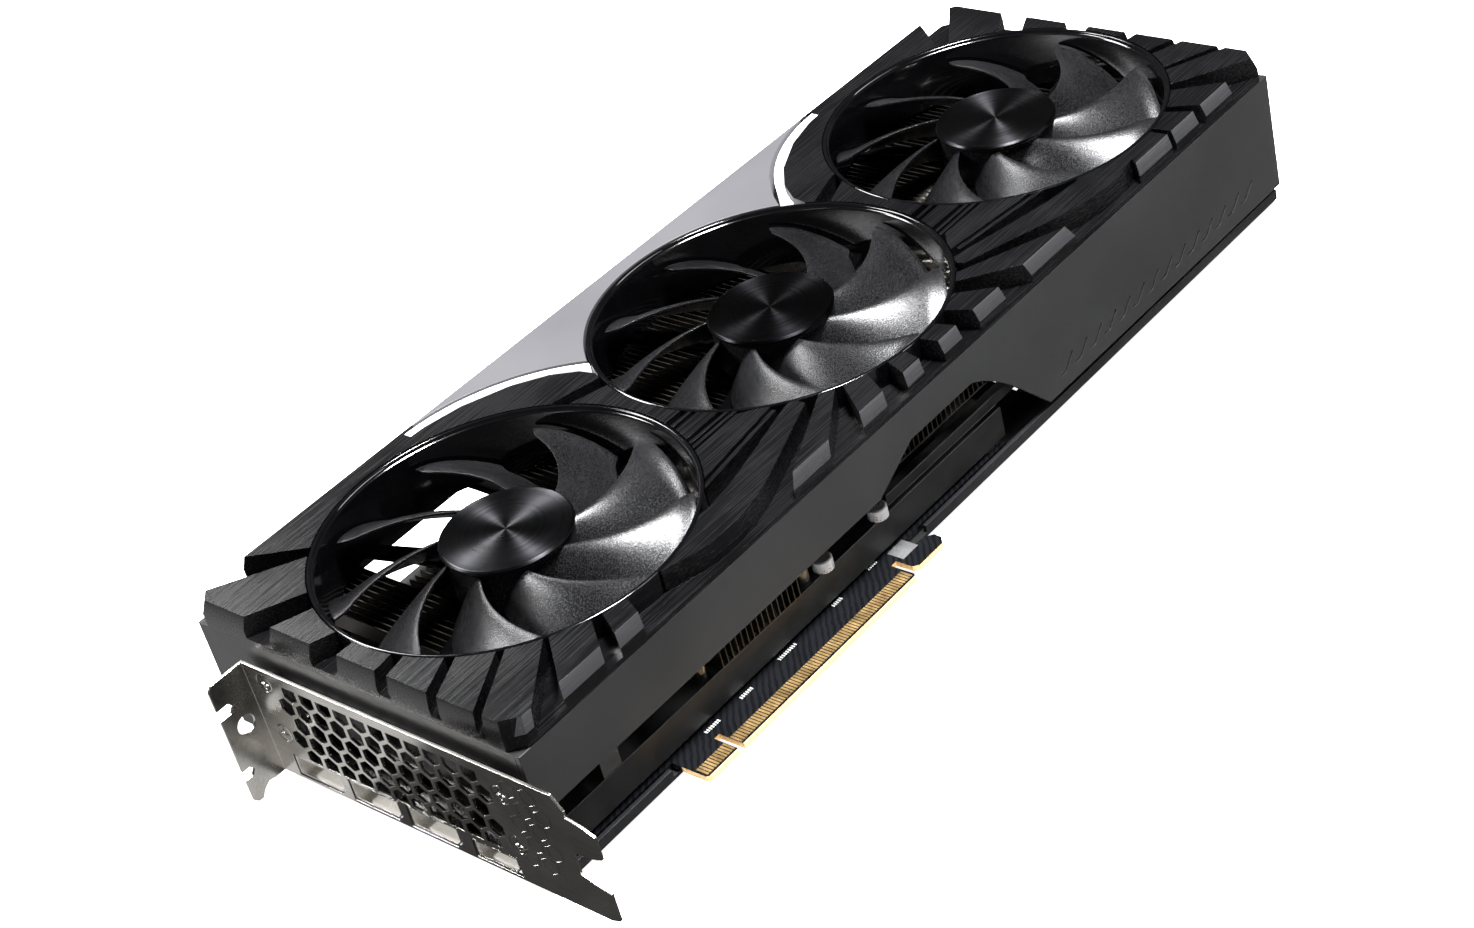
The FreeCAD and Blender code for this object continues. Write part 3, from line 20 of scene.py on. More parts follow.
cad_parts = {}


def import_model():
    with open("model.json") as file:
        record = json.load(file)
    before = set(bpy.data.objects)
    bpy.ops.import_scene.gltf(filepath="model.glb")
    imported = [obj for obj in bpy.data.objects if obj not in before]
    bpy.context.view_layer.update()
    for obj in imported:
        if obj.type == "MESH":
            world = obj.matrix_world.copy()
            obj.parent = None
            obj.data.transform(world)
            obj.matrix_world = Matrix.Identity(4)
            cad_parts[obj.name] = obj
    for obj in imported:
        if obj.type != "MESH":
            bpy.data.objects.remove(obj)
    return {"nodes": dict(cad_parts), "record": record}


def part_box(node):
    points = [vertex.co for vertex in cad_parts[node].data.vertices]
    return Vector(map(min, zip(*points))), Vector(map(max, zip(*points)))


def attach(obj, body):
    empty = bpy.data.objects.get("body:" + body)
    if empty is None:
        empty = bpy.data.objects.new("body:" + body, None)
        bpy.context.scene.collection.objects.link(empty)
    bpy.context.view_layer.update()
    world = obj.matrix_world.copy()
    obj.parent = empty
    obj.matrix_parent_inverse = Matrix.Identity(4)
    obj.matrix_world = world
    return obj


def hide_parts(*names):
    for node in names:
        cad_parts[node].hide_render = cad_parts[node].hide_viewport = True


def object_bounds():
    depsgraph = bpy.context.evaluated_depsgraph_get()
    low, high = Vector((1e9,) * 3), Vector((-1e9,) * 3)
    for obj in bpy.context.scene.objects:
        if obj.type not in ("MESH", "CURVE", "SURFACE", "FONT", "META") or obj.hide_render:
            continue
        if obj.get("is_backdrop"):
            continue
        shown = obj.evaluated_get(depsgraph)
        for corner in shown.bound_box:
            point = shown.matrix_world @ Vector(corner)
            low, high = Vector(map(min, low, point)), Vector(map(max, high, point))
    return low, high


log = logging.getLogger("graphics_card")
MM = 0.001
TINT_BLEND = 0.2  # how far either side of its middle the pattern fades from colour to tint
LEAST_ROUGH = 0.02
FAN_PHASES = (-0.7, 3.7, 16.7)  # degrees that each fan has turned, from the bracket
Point = tuple[float, float, float]
Sockets = dict[str | int, object]


def linear(colour: str) -> tuple[float, float, float, float]:
    """Turns an sRGB hex colour into linear RGBA.

    Args:
        colour: six hex digits, with a leading #.

    Returns:
        Four linear channels.
    """
    channels = [int(colour[i:i + 2], 16) / 255 for i in (1, 3, 5)]
    flat = [c / 12.92 if c <= 0.04045 else ((c + 0.055) / 1.055) ** 2.4 for c in channels]
    return flat[0], flat[1], flat[2], 1.0


def add(tree: bpy.types.NodeTree, kind: str, settings: dict[str, object] | None = None,
        inputs: Sockets | None = None) -> bpy.types.Node:
    """Adds one node with its settings and its inputs.

    Args:
        tree: the node tree that gets the node.
        kind: the node's type name.
        settings: attributes of the node.
        inputs: values by socket name or number; a socket as a value is linked.

    Returns:
        The new node.
    """
    node = tree.nodes.new(kind)
    for name, value in (settings or {}).items():
        setattr(node, name, value)
    for name, value in (inputs or {}).items():
        if isinstance(value, bpy.types.NodeSocket):
            tree.links.new(value, node.inputs[name])
        else:
            node.inputs[name].default_value = value
    return node


class Grain(Enum):
    """How a surface's fine texture runs."""

    SPARK = "even grain of a spark-eroded mould"
    ALONG_X = "brush lines along the card"
    ALONG_Y = "brush lines up the bracket"
    SPUN = "turning lines round an axis"
    TRACES = "slanted copper tracks under a solder mask"


@dataclass(frozen=True)
class Finish:
    """One material: what it is made of and how its surface was worked.

    Attributes:
        name: the finish in plain words.
        colour: main sRGB colour.
        tint: second sRGB colour, worn or shaded spots.
        metallic: 1 for a metal, 0 for a plastic.
        rough: mean roughness.
        spread: how far roughness wanders either side.
        grain: direction of the fine texture.
        grain_mm: spacing of the fine texture.
        depth_mm: height of the fine texture.
        patch_mm: size of the patches of tint.
        edge_mm: radius that a sharp edge seems rounded to, or 0 where the mesh is rounded already.
        ior: index of refraction.
        anisotropy: stretch of the highlight.
        glow: strength of its own light.
        streak: how strongly the fine texture carries the tint, against the patches.
        side: sRGB colour of the faces that do not lie flat, or nothing for the same colour all over; on the
            fascia
        a painted highlight on the slot-side bevels, on the board its bare tan edge.
        side_slope: how level those faces lie, from 0 for upright to 1 for flat.
        side_below_mm: the side colour shows only nearer to the card's slot edge than this.
    """

    name: str
    colour: str
    tint: str
    metallic: float = 0.0
    rough: float = 0.4
    spread: float = 0.08
    grain: Grain = Grain.SPARK
    grain_mm: float = 0.5
    depth_mm: float = 0.01
    patch_mm: float = 9.0
    edge_mm: float = 0.25
    ior: float = 1.5
    anisotropy: float = 0.0
    glow: float = 0.0
    streak: float = 0.5
    side: str = ""
    side_slope: tuple[float, float] = (-1.0, 0.98)
    side_below_mm: float = 0.0

    def height(self, tree: bpy.types.NodeTree) -> bpy.types.NodeSocket:
        """Height pattern of the fine texture.

        Args:
            tree: the material's node tree.

        Returns:
            A socket that runs from 0 to 1.
        """
        if self.grain is Grain.SPUN:
            rings = add(tree, "ShaderNodeUVMap", {"uv_map": "turned"}).outputs[0]
            across = add(tree, "ShaderNodeMapping", {},
                         {"Vector": rings, "Scale": (1 / self.grain_mm, 0.02, 1)})
            return add(tree, "ShaderNodeTexNoise", {"noise_dimensions": "2D"},
                       {"Vector": across.outputs[0], "Scale": 1.0, "Detail": 2.0}).outputs[0]
        place = add(tree, "ShaderNodeTexCoord").outputs["Object"]
        stretch = {Grain.ALONG_X: (0.02, 1, 1), Grain.ALONG_Y: (1, 0.03, 1)}.get(self.grain, (1, 1, 1))
        turn = (0, 0, math.radians(45)) if self.grain is Grain.TRACES else (0, 0, 0)
        scale = tuple(s / MM / self.grain_mm for s in stretch)
        spot = add(tree, "ShaderNodeMapping", {}, {"Vector": place, "Rotation": turn, "Scale": scale})
        if self.grain is Grain.TRACES:
            wave = add(tree, "ShaderNodeTexWave", {"wave_type": "BANDS", "bands_direction": "X"},
                       {"Vector": spot.outputs[0], "Scale": 0.3, "Distortion": 2.5, "Detail": 1.0})
            return wave.outputs["Fac"]
        noise = add(tree, "ShaderNodeTexNoise", {},
                    {"Vector": spot.outputs[0], "Scale": 1.0, "Detail": 3.0, "Roughness": 0.6})
        return noise.outputs[0]

    def side_tone_or_painted_highlight(self, tree: bpy.types.NodeTree, place: bpy.types.NodeSocket,
                    colour: bpy.types.NodeSocket) -> bpy.types.NodeSocket:
        """Lays the side colour on the faces whose slope and place call for it.

        Args:
            tree: the material's node tree.
            place: the surface point in the card's frame.
            colour: colour of every other face.

        Returns:
            The colour of the whole surface.
        """
        # on the fascia this is a painted highlight: the slot-side bevels get a lighter grey in place of
        # caught light; on the board it is the bare tan edge
        facing = add(tree, "ShaderNodeNewGeometry").outputs["True Normal"]
        upright = add(tree, "ShaderNodeSeparateXYZ", {}, {0: facing})
        level = add(tree, "ShaderNodeMath", {"operation": "ABSOLUTE"}, {0: upright.outputs[2]})
        low, high = self.side_slope
        steep = add(tree, "ShaderNodeMath", {"operation": "COMPARE"},
                    {0: level.outputs[0], 1: (low + high) / 2, 2: (high - low) / 2})
        across = add(tree, "ShaderNodeSeparateXYZ", {}, {0: place}).outputs[1]
        near = add(tree, "ShaderNodeMath", {"operation": "LESS_THAN"},
                   {0: across, 1: self.side_below_mm * MM})
        both = add(tree, "ShaderNodeMath", {"operation": "MULTIPLY"},
                   {0: steep.outputs[0], 1: near.outputs[0]})
        whole = add(tree, "ShaderNodeMix", {"data_type": "RGBA"},
                    {0: both.outputs[0], 6: colour, 7: linear(self.side)})
        return whole.outputs[2]

    def build(self) -> bpy.types.Material:
        """Builds the node tree of this finish.

        Returns:
            The material.
        """
        material = bpy.data.materials.new(self.name)
        material.use_nodes = True
        tree = material.node_tree
        tree.nodes.clear()
        place = add(tree, "ShaderNodeTexCoord").outputs["Object"]
        cloud = add(tree, "ShaderNodeTexNoise", {},
                    {"Vector": place, "Scale": 1 / MM / self.patch_mm, "Detail": 4.0})
        grain = self.height(tree)
        blend = add(tree, "ShaderNodeMath", {"operation": "MULTIPLY_ADD"},
                    {0: grain, 1: self.streak, 2: cloud.outputs[0]})
        middle = 0.5 + 0.5 * self.streak
        share = add(tree, "ShaderNodeMapRange", {},
                    {"Value": blend.outputs[0], "From Min": middle - TINT_BLEND,
                     "From Max": middle + TINT_BLEND})
        colour = add(tree, "ShaderNodeMix", {"data_type": "RGBA"},
                     {0: share.outputs[0], 6: linear(self.colour), 7: linear(self.tint)}).outputs[2]
        if self.side:
            colour = self.side_tone_or_painted_highlight(tree, place, colour)
        rough: float | bpy.types.NodeSocket = self.rough
        if self.spread:
            rough = add(tree, "ShaderNodeMapRange", {},
                        {"Value": share.outputs[0], "To Min": max(LEAST_ROUGH, self.rough - self.spread),
                         "To Max": self.rough + self.spread}).outputs[0]
        shader = add(tree, "ShaderNodeBsdfPrincipled", {},
                     {"Base Color": colour, "Metallic": self.metallic, "Roughness": rough, "IOR": self.ior,
                      "Anisotropic": self.anisotropy})
        if self.depth_mm:
            bump = add(tree, "ShaderNodeBump", {},
                       {"Strength": 1.0, "Distance": self.depth_mm * MM, "Height": grain})
            tree.links.new(bump.outputs[0], shader.inputs["Normal"])
            if self.edge_mm:
                edge = add(tree, "ShaderNodeBevel", {"samples": 6}, {"Radius": self.edge_mm * MM})
                tree.links.new(edge.outputs[0], bump.inputs["Normal"])
        if self.anisotropy:
            way = add(tree, "ShaderNodeTangent", {"direction_type": "UV_MAP", "uv_map": "turned"})
            tree.links.new(way.outputs[0], shader.inputs["Tangent"])
        if self.glow:
            shader.inputs["Emission Color"].default_value = linear(self.colour)
            shader.inputs["Emission Strength"].default_value = self.glow
        add(tree, "ShaderNodeOutputMaterial", {}, {"Surface": shader.outputs[0]})
        return material


FINISHES: dict[str, Finish] = {
    # moulded with a brushed pattern cut in the mould: streaks of soft sheen; the slot-side bevels carry a
    # painted highlight, a lighter grey in place of the light they would catch
    "fascia_plastic": Finish(
        "brush-patterned ABS", "#050506", "#0f0f10", rough=0.24, spread=0.06, ior=1.36, grain=Grain.ALONG_X,
        grain_mm=0.5, depth_mm=0.03, patch_mm=30, edge_mm=0, streak=1.6, side="#2c2c2e",
        side_slope=(0.12, 0.6), side_below_mm=12.0),
    # matte moulded: an even charcoal that only brightens at a grazing angle
    "skirt_plastic": Finish(
        "matte ABS", "#19191a", "#1d1d1e", rough=0.48, spread=0.04, grain_mm=0.6, depth_mm=0.012,
        patch_mm=40, edge_mm=0),
    # sprayed satin: an even mid grey with one broad, dull highlight
    "panel_paint": Finish(
        "satin painted panel", "#4b4b4e", "#525255", rough=0.42, spread=0.03, grain_mm=0.4, depth_mm=0.004,
        patch_mm=50, edge_mm=0.2),
    # translucent moulding over lamps: a white band that seems lit from inside
    "light_diffuser": Finish(
        "milky diffuser", "#f6f6fa", "#ffffff", rough=0.35, depth_mm=0.004, edge_mm=0, glow=1.1),
    # screen-printed: a plain chalky white, also used for the printed dashes
    "led_board": Finish("white solder mask", "#d9dbd8", "#c9ccc8", rough=0.35, edge_mm=0),
    # dark mask over etched tracks: nearly black, with slanted ridges and a bare tan edge by the contacts
    "board_mask": Finish(
        "dark solder mask", "#050608", "#090b10", rough=0.3, spread=0.03, grain=Grain.TRACES, grain_mm=1.6,
        depth_mm=0.005, patch_mm=8, edge_mm=0, streak=0.6, side="#c9a877", side_below_mm=9.0),
    # hard-plated: a dull brownish gold with fine marks along each strip
    "contact_gold": Finish(
        "hard gold plate", "#8d7348", "#a88c5e", metallic=0.8, rough=0.45, grain=Grain.ALONG_Y,
        grain_mm=0.3, depth_mm=0.006, patch_mm=4, edge_mm=0),
    # pressed resin sheet: a deep green under the chip
    "package_laminate": Finish("chip laminate", "#153019", "#1c3a20", rough=0.4, edge_mm=0),
    # ground flat: a grey near-mirror
    "die_silicon": Finish(
        "polished silicon", "#53565c", "#666a70", metallic=0.8, rough=0.1, spread=0.03, edge_mm=0),
    # moulded: a dull black with a fine even grain
    "chip_epoxy": Finish(
        "moulded epoxy", "#101010", "#1a1a1a", rough=0.5, grain_mm=0.3, depth_mm=0.01, edge_mm=0),
    # pressed powder: a rough grey without a highlight, also used for the board's plain label
    "choke_ferrite": Finish(
        "pressed ferrite", "#3e3e40", "#6c6c6d", rough=0.6, grain_mm=0.4, depth_mm=0.02, edge_mm=0),
    # drawn sheet: a pale metal with a soft round highlight
    "can_aluminium": Finish("drawn can", "#b9babd", "#d2d3d6", metallic=0.7, rough=0.3, edge_mm=0.1),
    # cast sheet: a soft blue-grey without a highlight
    "pad_silicone": Finish(
        "silicone pad", "#8f959f", "#a2a7b0", rough=0.7, grain_mm=0.8, depth_mm=0.03, edge_mm=0),
    # moulded: black with a faint grain from its fibres
    "header_nylon": Finish(
        "glass-filled nylon", "#0f0f10", "#1c1c1d", rough=0.42, grain_mm=0.4, depth_mm=0.02),
    # stamped and plated: small warm glints
    "pin_gold": Finish("gold-plated pin", "#cfa15a", "#e3bd7c", metallic=1.0, rough=0.25, edge_mm=0),
    # folded and plated sheet: a bright rim round each dark mouth
    "socket_steel": Finish(
        "plated socket shell", "#b6b4b0", "#d0cecb", metallic=1.0, rough=0.2, edge_mm=0.1),
    # moulded liquid-crystal polymer, given a small glow so that it shows inside the dark mouths
    "tongue_nylon": Finish("pale socket tongue", "#e4e3df", "#efeeea", rough=0.35, edge_mm=0, glow=0.7),
    # plated rolled sheet: a warm satin grey, brushed up the bracket
    "bracket_nickel": Finish(
        "satin nickel plate", "#a9a6a1", "#c4c1bc", metallic=1.0, rough=0.25, spread=0.04,
        grain=Grain.ALONG_Y, grain_mm=0.5, depth_mm=0.003, patch_mm=14, edge_mm=0),
    # headed and plated: bright rounded edges
    "screw_nickel": Finish(
        "nickel-plated screw", "#a8a6a2", "#c8c6c2", metallic=1.0, rough=0.25, edge_mm=0.1),
    # headed and blacked: dark, with a dull metal sheen
    "screw_black": Finish(
        "black-oxide screw", "#1d1d1e", "#2e2e30", metallic=1.0, rough=0.35, edge_mm=0.1),
    # baked powder: charcoal with a slight orange peel
    "backplate_paint": Finish(
        "powder-coated plate", "#161617", "#1e1e20", metallic=0.3, rough=0.42, grain_mm=0.6, depth_mm=0.02,
        patch_mm=35, edge_mm=0),
    # painted: an even near-black that keeps the inside in shade
    "frame_paint": Finish(
        "black-painted cooler frame", "#0b0b0c", "#131314", rough=0.4, grain_mm=0.5, depth_mm=0.015,
        edge_mm=0.2),
    # milled: warm red metal
    "copper_plate": Finish("milled copper", "#a8623f", "#c47c55", metallic=1.0, rough=0.28),
    # drawn and plated: a long clear highlight along each pipe
    "pipe_nickel": Finish(
        "nickel-plated pipe", "#a9a59d", "#c8c4bc", metallic=1.0, rough=0.22, edge_mm=0),
    # rolled sheet: thin warm-grey edges of uneven brightness
    "fin_aluminium": Finish(
        "rolled aluminium fin", "#54524f", "#6e6b66", metallic=1.0, rough=0.36, spread=0.1, grain_mm=0.8,
        depth_mm=0.01, patch_mm=12, edge_mm=0),
    # turned and plated: a bright upright highlight
    "standoff_nickel": Finish(
        "turned nickel post", "#a8a6a2", "#c8c6c2", metallic=1.0, rough=0.25, edge_mm=0.1),
    # polished moulding: near-mirror with a thin bright line along each rounded lip
    "ring_gloss": Finish(
        "gloss black moulding", "#030304", "#050506", rough=0.1, spread=0.02, grain_mm=3.0, depth_mm=0,
        edge_mm=0),
    # satin moulding whose spark grain glitters where the light grazes it; drawn coarser than real to show
    "blade_plastic": Finish(
        "satin fan plastic", "#030303", "#2f2f31", metallic=0.5, rough=0.27, spread=0.0, grain_mm=0.32,
        depth_mm=0.05, patch_mm=30, edge_mm=0, streak=3.0),
    # spun: two bright opposite rays that cross the turning lines
    "cap_metal": Finish(
        "spun dark aluminium", "#29292b", "#333336", metallic=1.0, rough=0.3, spread=0.03,
        grain=Grain.SPUN, grain_mm=0.9, depth_mm=0.001, edge_mm=0, anisotropy=0.92),
    # spun and blacked: the same rays, darker
    "cap_gloss": Finish(
        "black spun cap", "#161618", "#1e1e21", metallic=1.0, rough=0.28, spread=0.03, grain=Grain.SPUN,
        grain_mm=0.9, depth_mm=0.001, edge_mm=0, anisotropy=0.9),
    # moulded magnet: dull charcoal
    "magnet_ferrite": Finish("bonded ferrite", "#262627", "#333334", rough=0.6, edge_mm=0),
    # ground: a narrow bright line along the shaft
    "shaft_steel": Finish("ground steel", "#a5a4a2", "#bfbebc", metallic=1.0, rough=0.2, edge_mm=0),
    # varnished wire: dark orange-brown
    "winding_copper": Finish(
        "enamelled windings", "#7d4426", "#95583a", metallic=0.6, rough=0.35, edge_mm=0),
}


class Palette:
    """Materials by slot, each built once."""

    def __init__(self) -> None:
        """Starts with nothing built."""
        self.made: dict[str, bpy.types.Material] = {}

    def __getitem__(self, slot: str) -> bpy.types.Material:
        """The slot's material, built the first time it is asked for."""
        if slot not in self.made:
            self.made[slot] = FINISHES[slot].build()
        return self.made[slot]


PALETTE = Palette()


def new_object(name: str, shape: bmesh.types.BMesh) -> bpy.types.Object:
    """Turns a bmesh into an object at the origin.

    Args:
        name: name of the object and its mesh.
        shape: the mesh in metres; it is freed.

    Returns:
        The linked object.
    """
    mesh = bpy.data.meshes.new(name)
    shape.to_mesh(mesh)
    shape.free()
    item = bpy.data.objects.new(name, mesh)
    bpy.context.scene.collection.objects.link(item)
    return item


def flatten(item: bpy.types.Object) -> bpy.types.Object:
    """Applies every modifier, so that a plain mesh is left.

    Args:
        item: the object with modifiers.

    Returns:
        The same object.
    """
    graph = bpy.context.evaluated_depsgraph_get()
    mesh = bpy.data.meshes.new_from_object(item.evaluated_get(graph), preserve_all_data_layers=True,
                                           depsgraph=graph)
    item.modifiers.clear()
    old, item.data = item.data, mesh
    bpy.data.meshes.remove(old)
    mesh.name = item.name
    return item


def finish_piece(item: bpy.types.Object, slot: str, body: str, stands_for: Sequence[str] = (),
                 smooth: float | None = 35.0) -> bpy.types.Object:
    """Shades a piece, gives it its material and hangs it on its body.

    Args:
        item: a plain mesh object.
        slot: the record's material slot.
        body: the CAD body it rides on.
        stands_for: CAD nodes that it replaces.
        smooth: edges sharper than this many degrees stay sharp; None keeps the mesh's own shading.

    Returns:
        The same object.
    """
    item.data.materials.clear()
    item.data.materials.append(PALETTE[slot])
    for face in item.data.polygons:
        face.material_index = 0
    if smooth is not None:
        item.data.shade_smooth()
        item.data.set_sharp_from_angle(angle=math.radians(smooth))
    if stands_for:
        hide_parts(*stands_for)
    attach(item, body)
    log.info("%s: %d faces", item.name, len(item.data.polygons))
    return item


def soften(node: bpy.types.Object, name: str, width: float, limit: float = 30.0,
           segments: int = 2) -> bpy.types.Object:
    """Copies a CAD node, clears its triangulation and rounds its edges.

    Args:
        node: the CAD node, left alone.
        name: the copy's name.
        width: width of the rounding, in millimetres.
        limit: edges flatter than this many degrees are left.
        segments: faces across each rounding.

    Returns:
        The rounded copy.
    """
    shape = bmesh.new()
    shape.from_mesh(node.data)
    bmesh.ops.remove_doubles(shape, verts=shape.verts, dist=2e-6)
    bmesh.ops.dissolve_limit(shape, angle_limit=math.radians(0.6), verts=shape.verts, edges=shape.edges)
    item = new_object(name, shape)
    bevel = item.modifiers.new("rounding", "BEVEL")
    bevel.limit_method, bevel.angle_limit = "ANGLE", math.radians(limit)
    bevel.width, bevel.segments = width * MM, segments
    bevel.use_clamp_overlap = True
    flatten(item)
    for face in item.data.polygons:
        face.use_smooth = True
    item.data.set_sharp_from_angle(angle=math.radians(60))
    evened = item.modifiers.new("flat faces stay flat", "WEIGHTED_NORMAL")
    evened.weight, evened.keep_sharp = 50, True
    return flatten(item)


def turned(name: str, profile: Sequence[tuple[float, float]], centre: tuple[float, float],
           steps: int = 128) -> bpy.types.Object:
    """Turns a closed profile about an upright axis.

    Args:
        name: the object's name.
        profile: radius and height pairs in millimetres, clockwise as seen with the axis on the left.
        centre: the axis in X and Y, in millimetres.
        steps: faces round the axis.

    Returns:
        The turned piece, with a UV map "turned" whose U is the radius and V the angle.
    """
    shape = bmesh.new()
    chart = shape.loops.layers.uv.new("turned")
    rings: list[list[bmesh.types.BMVert]] = []
    for radius, level in profile:
        count = steps if radius > 0 else 1
        angles = [2 * math.pi * k / count for k in range(count)]
        rings.append([shape.verts.new(((centre[0] + radius * math.cos(angle)) * MM,
                                       (centre[1] + radius * math.sin(angle)) * MM, level * MM))
                      for angle in angles])
    pairs = list(zip(range(len(profile)), range(1, len(profile))))
    if profile[0][0] > 0:
        pairs.append((len(profile) - 1, 0))
    for a, b in pairs:
        first, second = rings[a], rings[b]
        if len(first) == 1 and len(second) == 1:
            continue
        for k in range(steps):
            after = k + 1
            corners = [(first[k % len(first)], a, k), (first[after % len(first)], a, after),
                       (second[after % len(second)], b, after), (second[k % len(second)], b, k)]
            kept = [c for i, c in enumerate(corners) if c[0] not in [d[0] for d in corners[:i]]]
            face = shape.faces.new([c[0] for c in kept])
            for loop, (_, row, turn) in zip(face.loops, kept):
                spot = turn if profile[row][0] > 0 else k + 0.5
                loop[chart].uv = (profile[row][0], 40.0 * spot / steps)
    bmesh.ops.recalc_face_normals(shape, faces=shape.faces)
    return new_object(name, shape)


def socket(tree: bpy.types.NodeTree, name: str, kind: str, way: str = "INPUT") -> None:
    """Adds one named socket to a geometry tree's face."""
    tree.interface.new_socket(name, in_out=way, socket_type=kind)


def round_tree() -> bpy.types.NodeTree:
    """Geometry tree that turns copies of a mesh about an upright axis.

    Returns:
        The tree, with inputs Geometry, Count, Step, Centre and Material.
    """
    tree = bpy.data.node_groups.new("copies round an axis", "GeometryNodeTree")
    for name, kind in (("Geometry", "NodeSocketGeometry"), ("Count", "NodeSocketInt"),
                       ("Step", "NodeSocketFloat"), ("Centre", "NodeSocketVector"),
                       ("Material", "NodeSocketMaterial")):
        socket(tree, name, kind)
    socket(tree, "Geometry", "NodeSocketGeometry", "OUTPUT")
    given = add(tree, "NodeGroupInput").outputs
    points = add(tree, "GeometryNodePoints", {}, {"Count": given["Count"], "Position": given["Centre"]})
    index = add(tree, "GeometryNodeInputIndex").outputs[0]
    angle = add(tree, "ShaderNodeMath", {"operation": "MULTIPLY"}, {0: index, 1: given["Step"]})
    turn = add(tree, "ShaderNodeCombineXYZ", {}, {"Z": angle.outputs[0]})
    copies = add(tree, "GeometryNodeInstanceOnPoints", {},
                 {"Points": points.outputs[0], "Instance": given["Geometry"], "Rotation": turn.outputs[0]})
    whole = add(tree, "GeometryNodeRealizeInstances", {}, {"Geometry": copies.outputs[0]})
    dressed = add(tree, "GeometryNodeSetMaterial", {},
                  {"Geometry": whole.outputs[0], "Material": given["Material"]})
    add(tree, "NodeGroupOutput", {}, {"Geometry": dressed.outputs[0]})
    return tree


def row_tree() -> bpy.types.NodeTree:
    """Geometry tree that lays copies of a mesh in a straight row.

    Returns:
        The tree, with inputs Geometry, Count, Start, Step and Material.
    """
    tree = bpy.data.node_groups.new("copies in a row", "GeometryNodeTree")
    for name, kind in (("Geometry", "NodeSocketGeometry"), ("Count", "NodeSocketInt"),
                       ("Start", "NodeSocketVector"), ("Step", "NodeSocketVector"),
                       ("Material", "NodeSocketMaterial")):
        socket(tree, name, kind)
    socket(tree, "Geometry", "NodeSocketGeometry", "OUTPUT")
    given = add(tree, "NodeGroupInput").outputs
    line = add(tree, "GeometryNodeMeshLine", {},
               {"Count": given["Count"], "Start Location": given["Start"], "Offset": given["Step"]})
    copies = add(tree, "GeometryNodeInstanceOnPoints", {},
                 {"Points": line.outputs[0], "Instance": given["Geometry"]})
    whole = add(tree, "GeometryNodeRealizeInstances", {}, {"Geometry": copies.outputs[0]})
    dressed = add(tree, "GeometryNodeSetMaterial", {},
                  {"Geometry": whole.outputs[0], "Material": given["Material"]})
    add(tree, "NodeGroupOutput", {}, {"Geometry": dressed.outputs[0]})
    return tree


def grow(item: bpy.types.Object, tree: bpy.types.NodeTree, **values: object) -> bpy.types.Object:
    """Runs a geometry tree on an object and keeps the result as a plain mesh.

    Args:
        item: the object whose mesh is copied.
        tree: the geometry tree.
        values: values of the tree's named inputs.

    Returns:
        The same object.
    """
    modifier = item.modifiers.new("copies", "NODES")
    modifier.node_group = tree
    for entry in tree.interface.items_tree:
        if entry.item_type == "SOCKET" and entry.in_out == "INPUT" and entry.name in values:
            modifier[entry.identifier] = values[entry.name]
    return flatten(item)


def join(name: str, items: Sequence[bpy.types.Object]) -> bpy.types.Object:
    """Joins plain mesh objects into one.

    Args:
        name: name of the result.
        items: the objects, which are removed.

    Returns:
        The joined object.
    """
    shape = bmesh.new()
    for item in items:
        shape.from_mesh(item.data)
        bpy.data.objects.remove(item)
    return new_object(name, shape)


def plate(name: str, outline: Sequence[tuple[float, float]], low: float, high: float,
          rounding: float = 0.3) -> bpy.types.Object:
    """Upright prism of a flat outline, with rounded edges.

    Args:
        name: the object's name.
        outline: corners in X and Y, in millimetres.
        low: lower level.
        high: upper level.
        rounding: width of the rounding.

    Returns:
        The rounded prism.
    """
    shape = bmesh.new()
    foot = [shape.verts.new((x * MM, y * MM, low * MM)) for x, y in outline]
    face = shape.faces.new(foot)
    risen = bmesh.ops.extrude_face_region(shape, geom=[face])["geom"]
    for vert in (v for v in risen if isinstance(v, bmesh.types.BMVert)):
        vert.co.z = high * MM
    bmesh.ops.recalc_face_normals(shape, faces=shape.faces)
    item = new_object(name, shape)
    bevel = item.modifiers.new("rounding", "BEVEL")
    bevel.width, bevel.segments, bevel.limit_method = rounding * MM, 2, "ANGLE"
    return flatten(item)


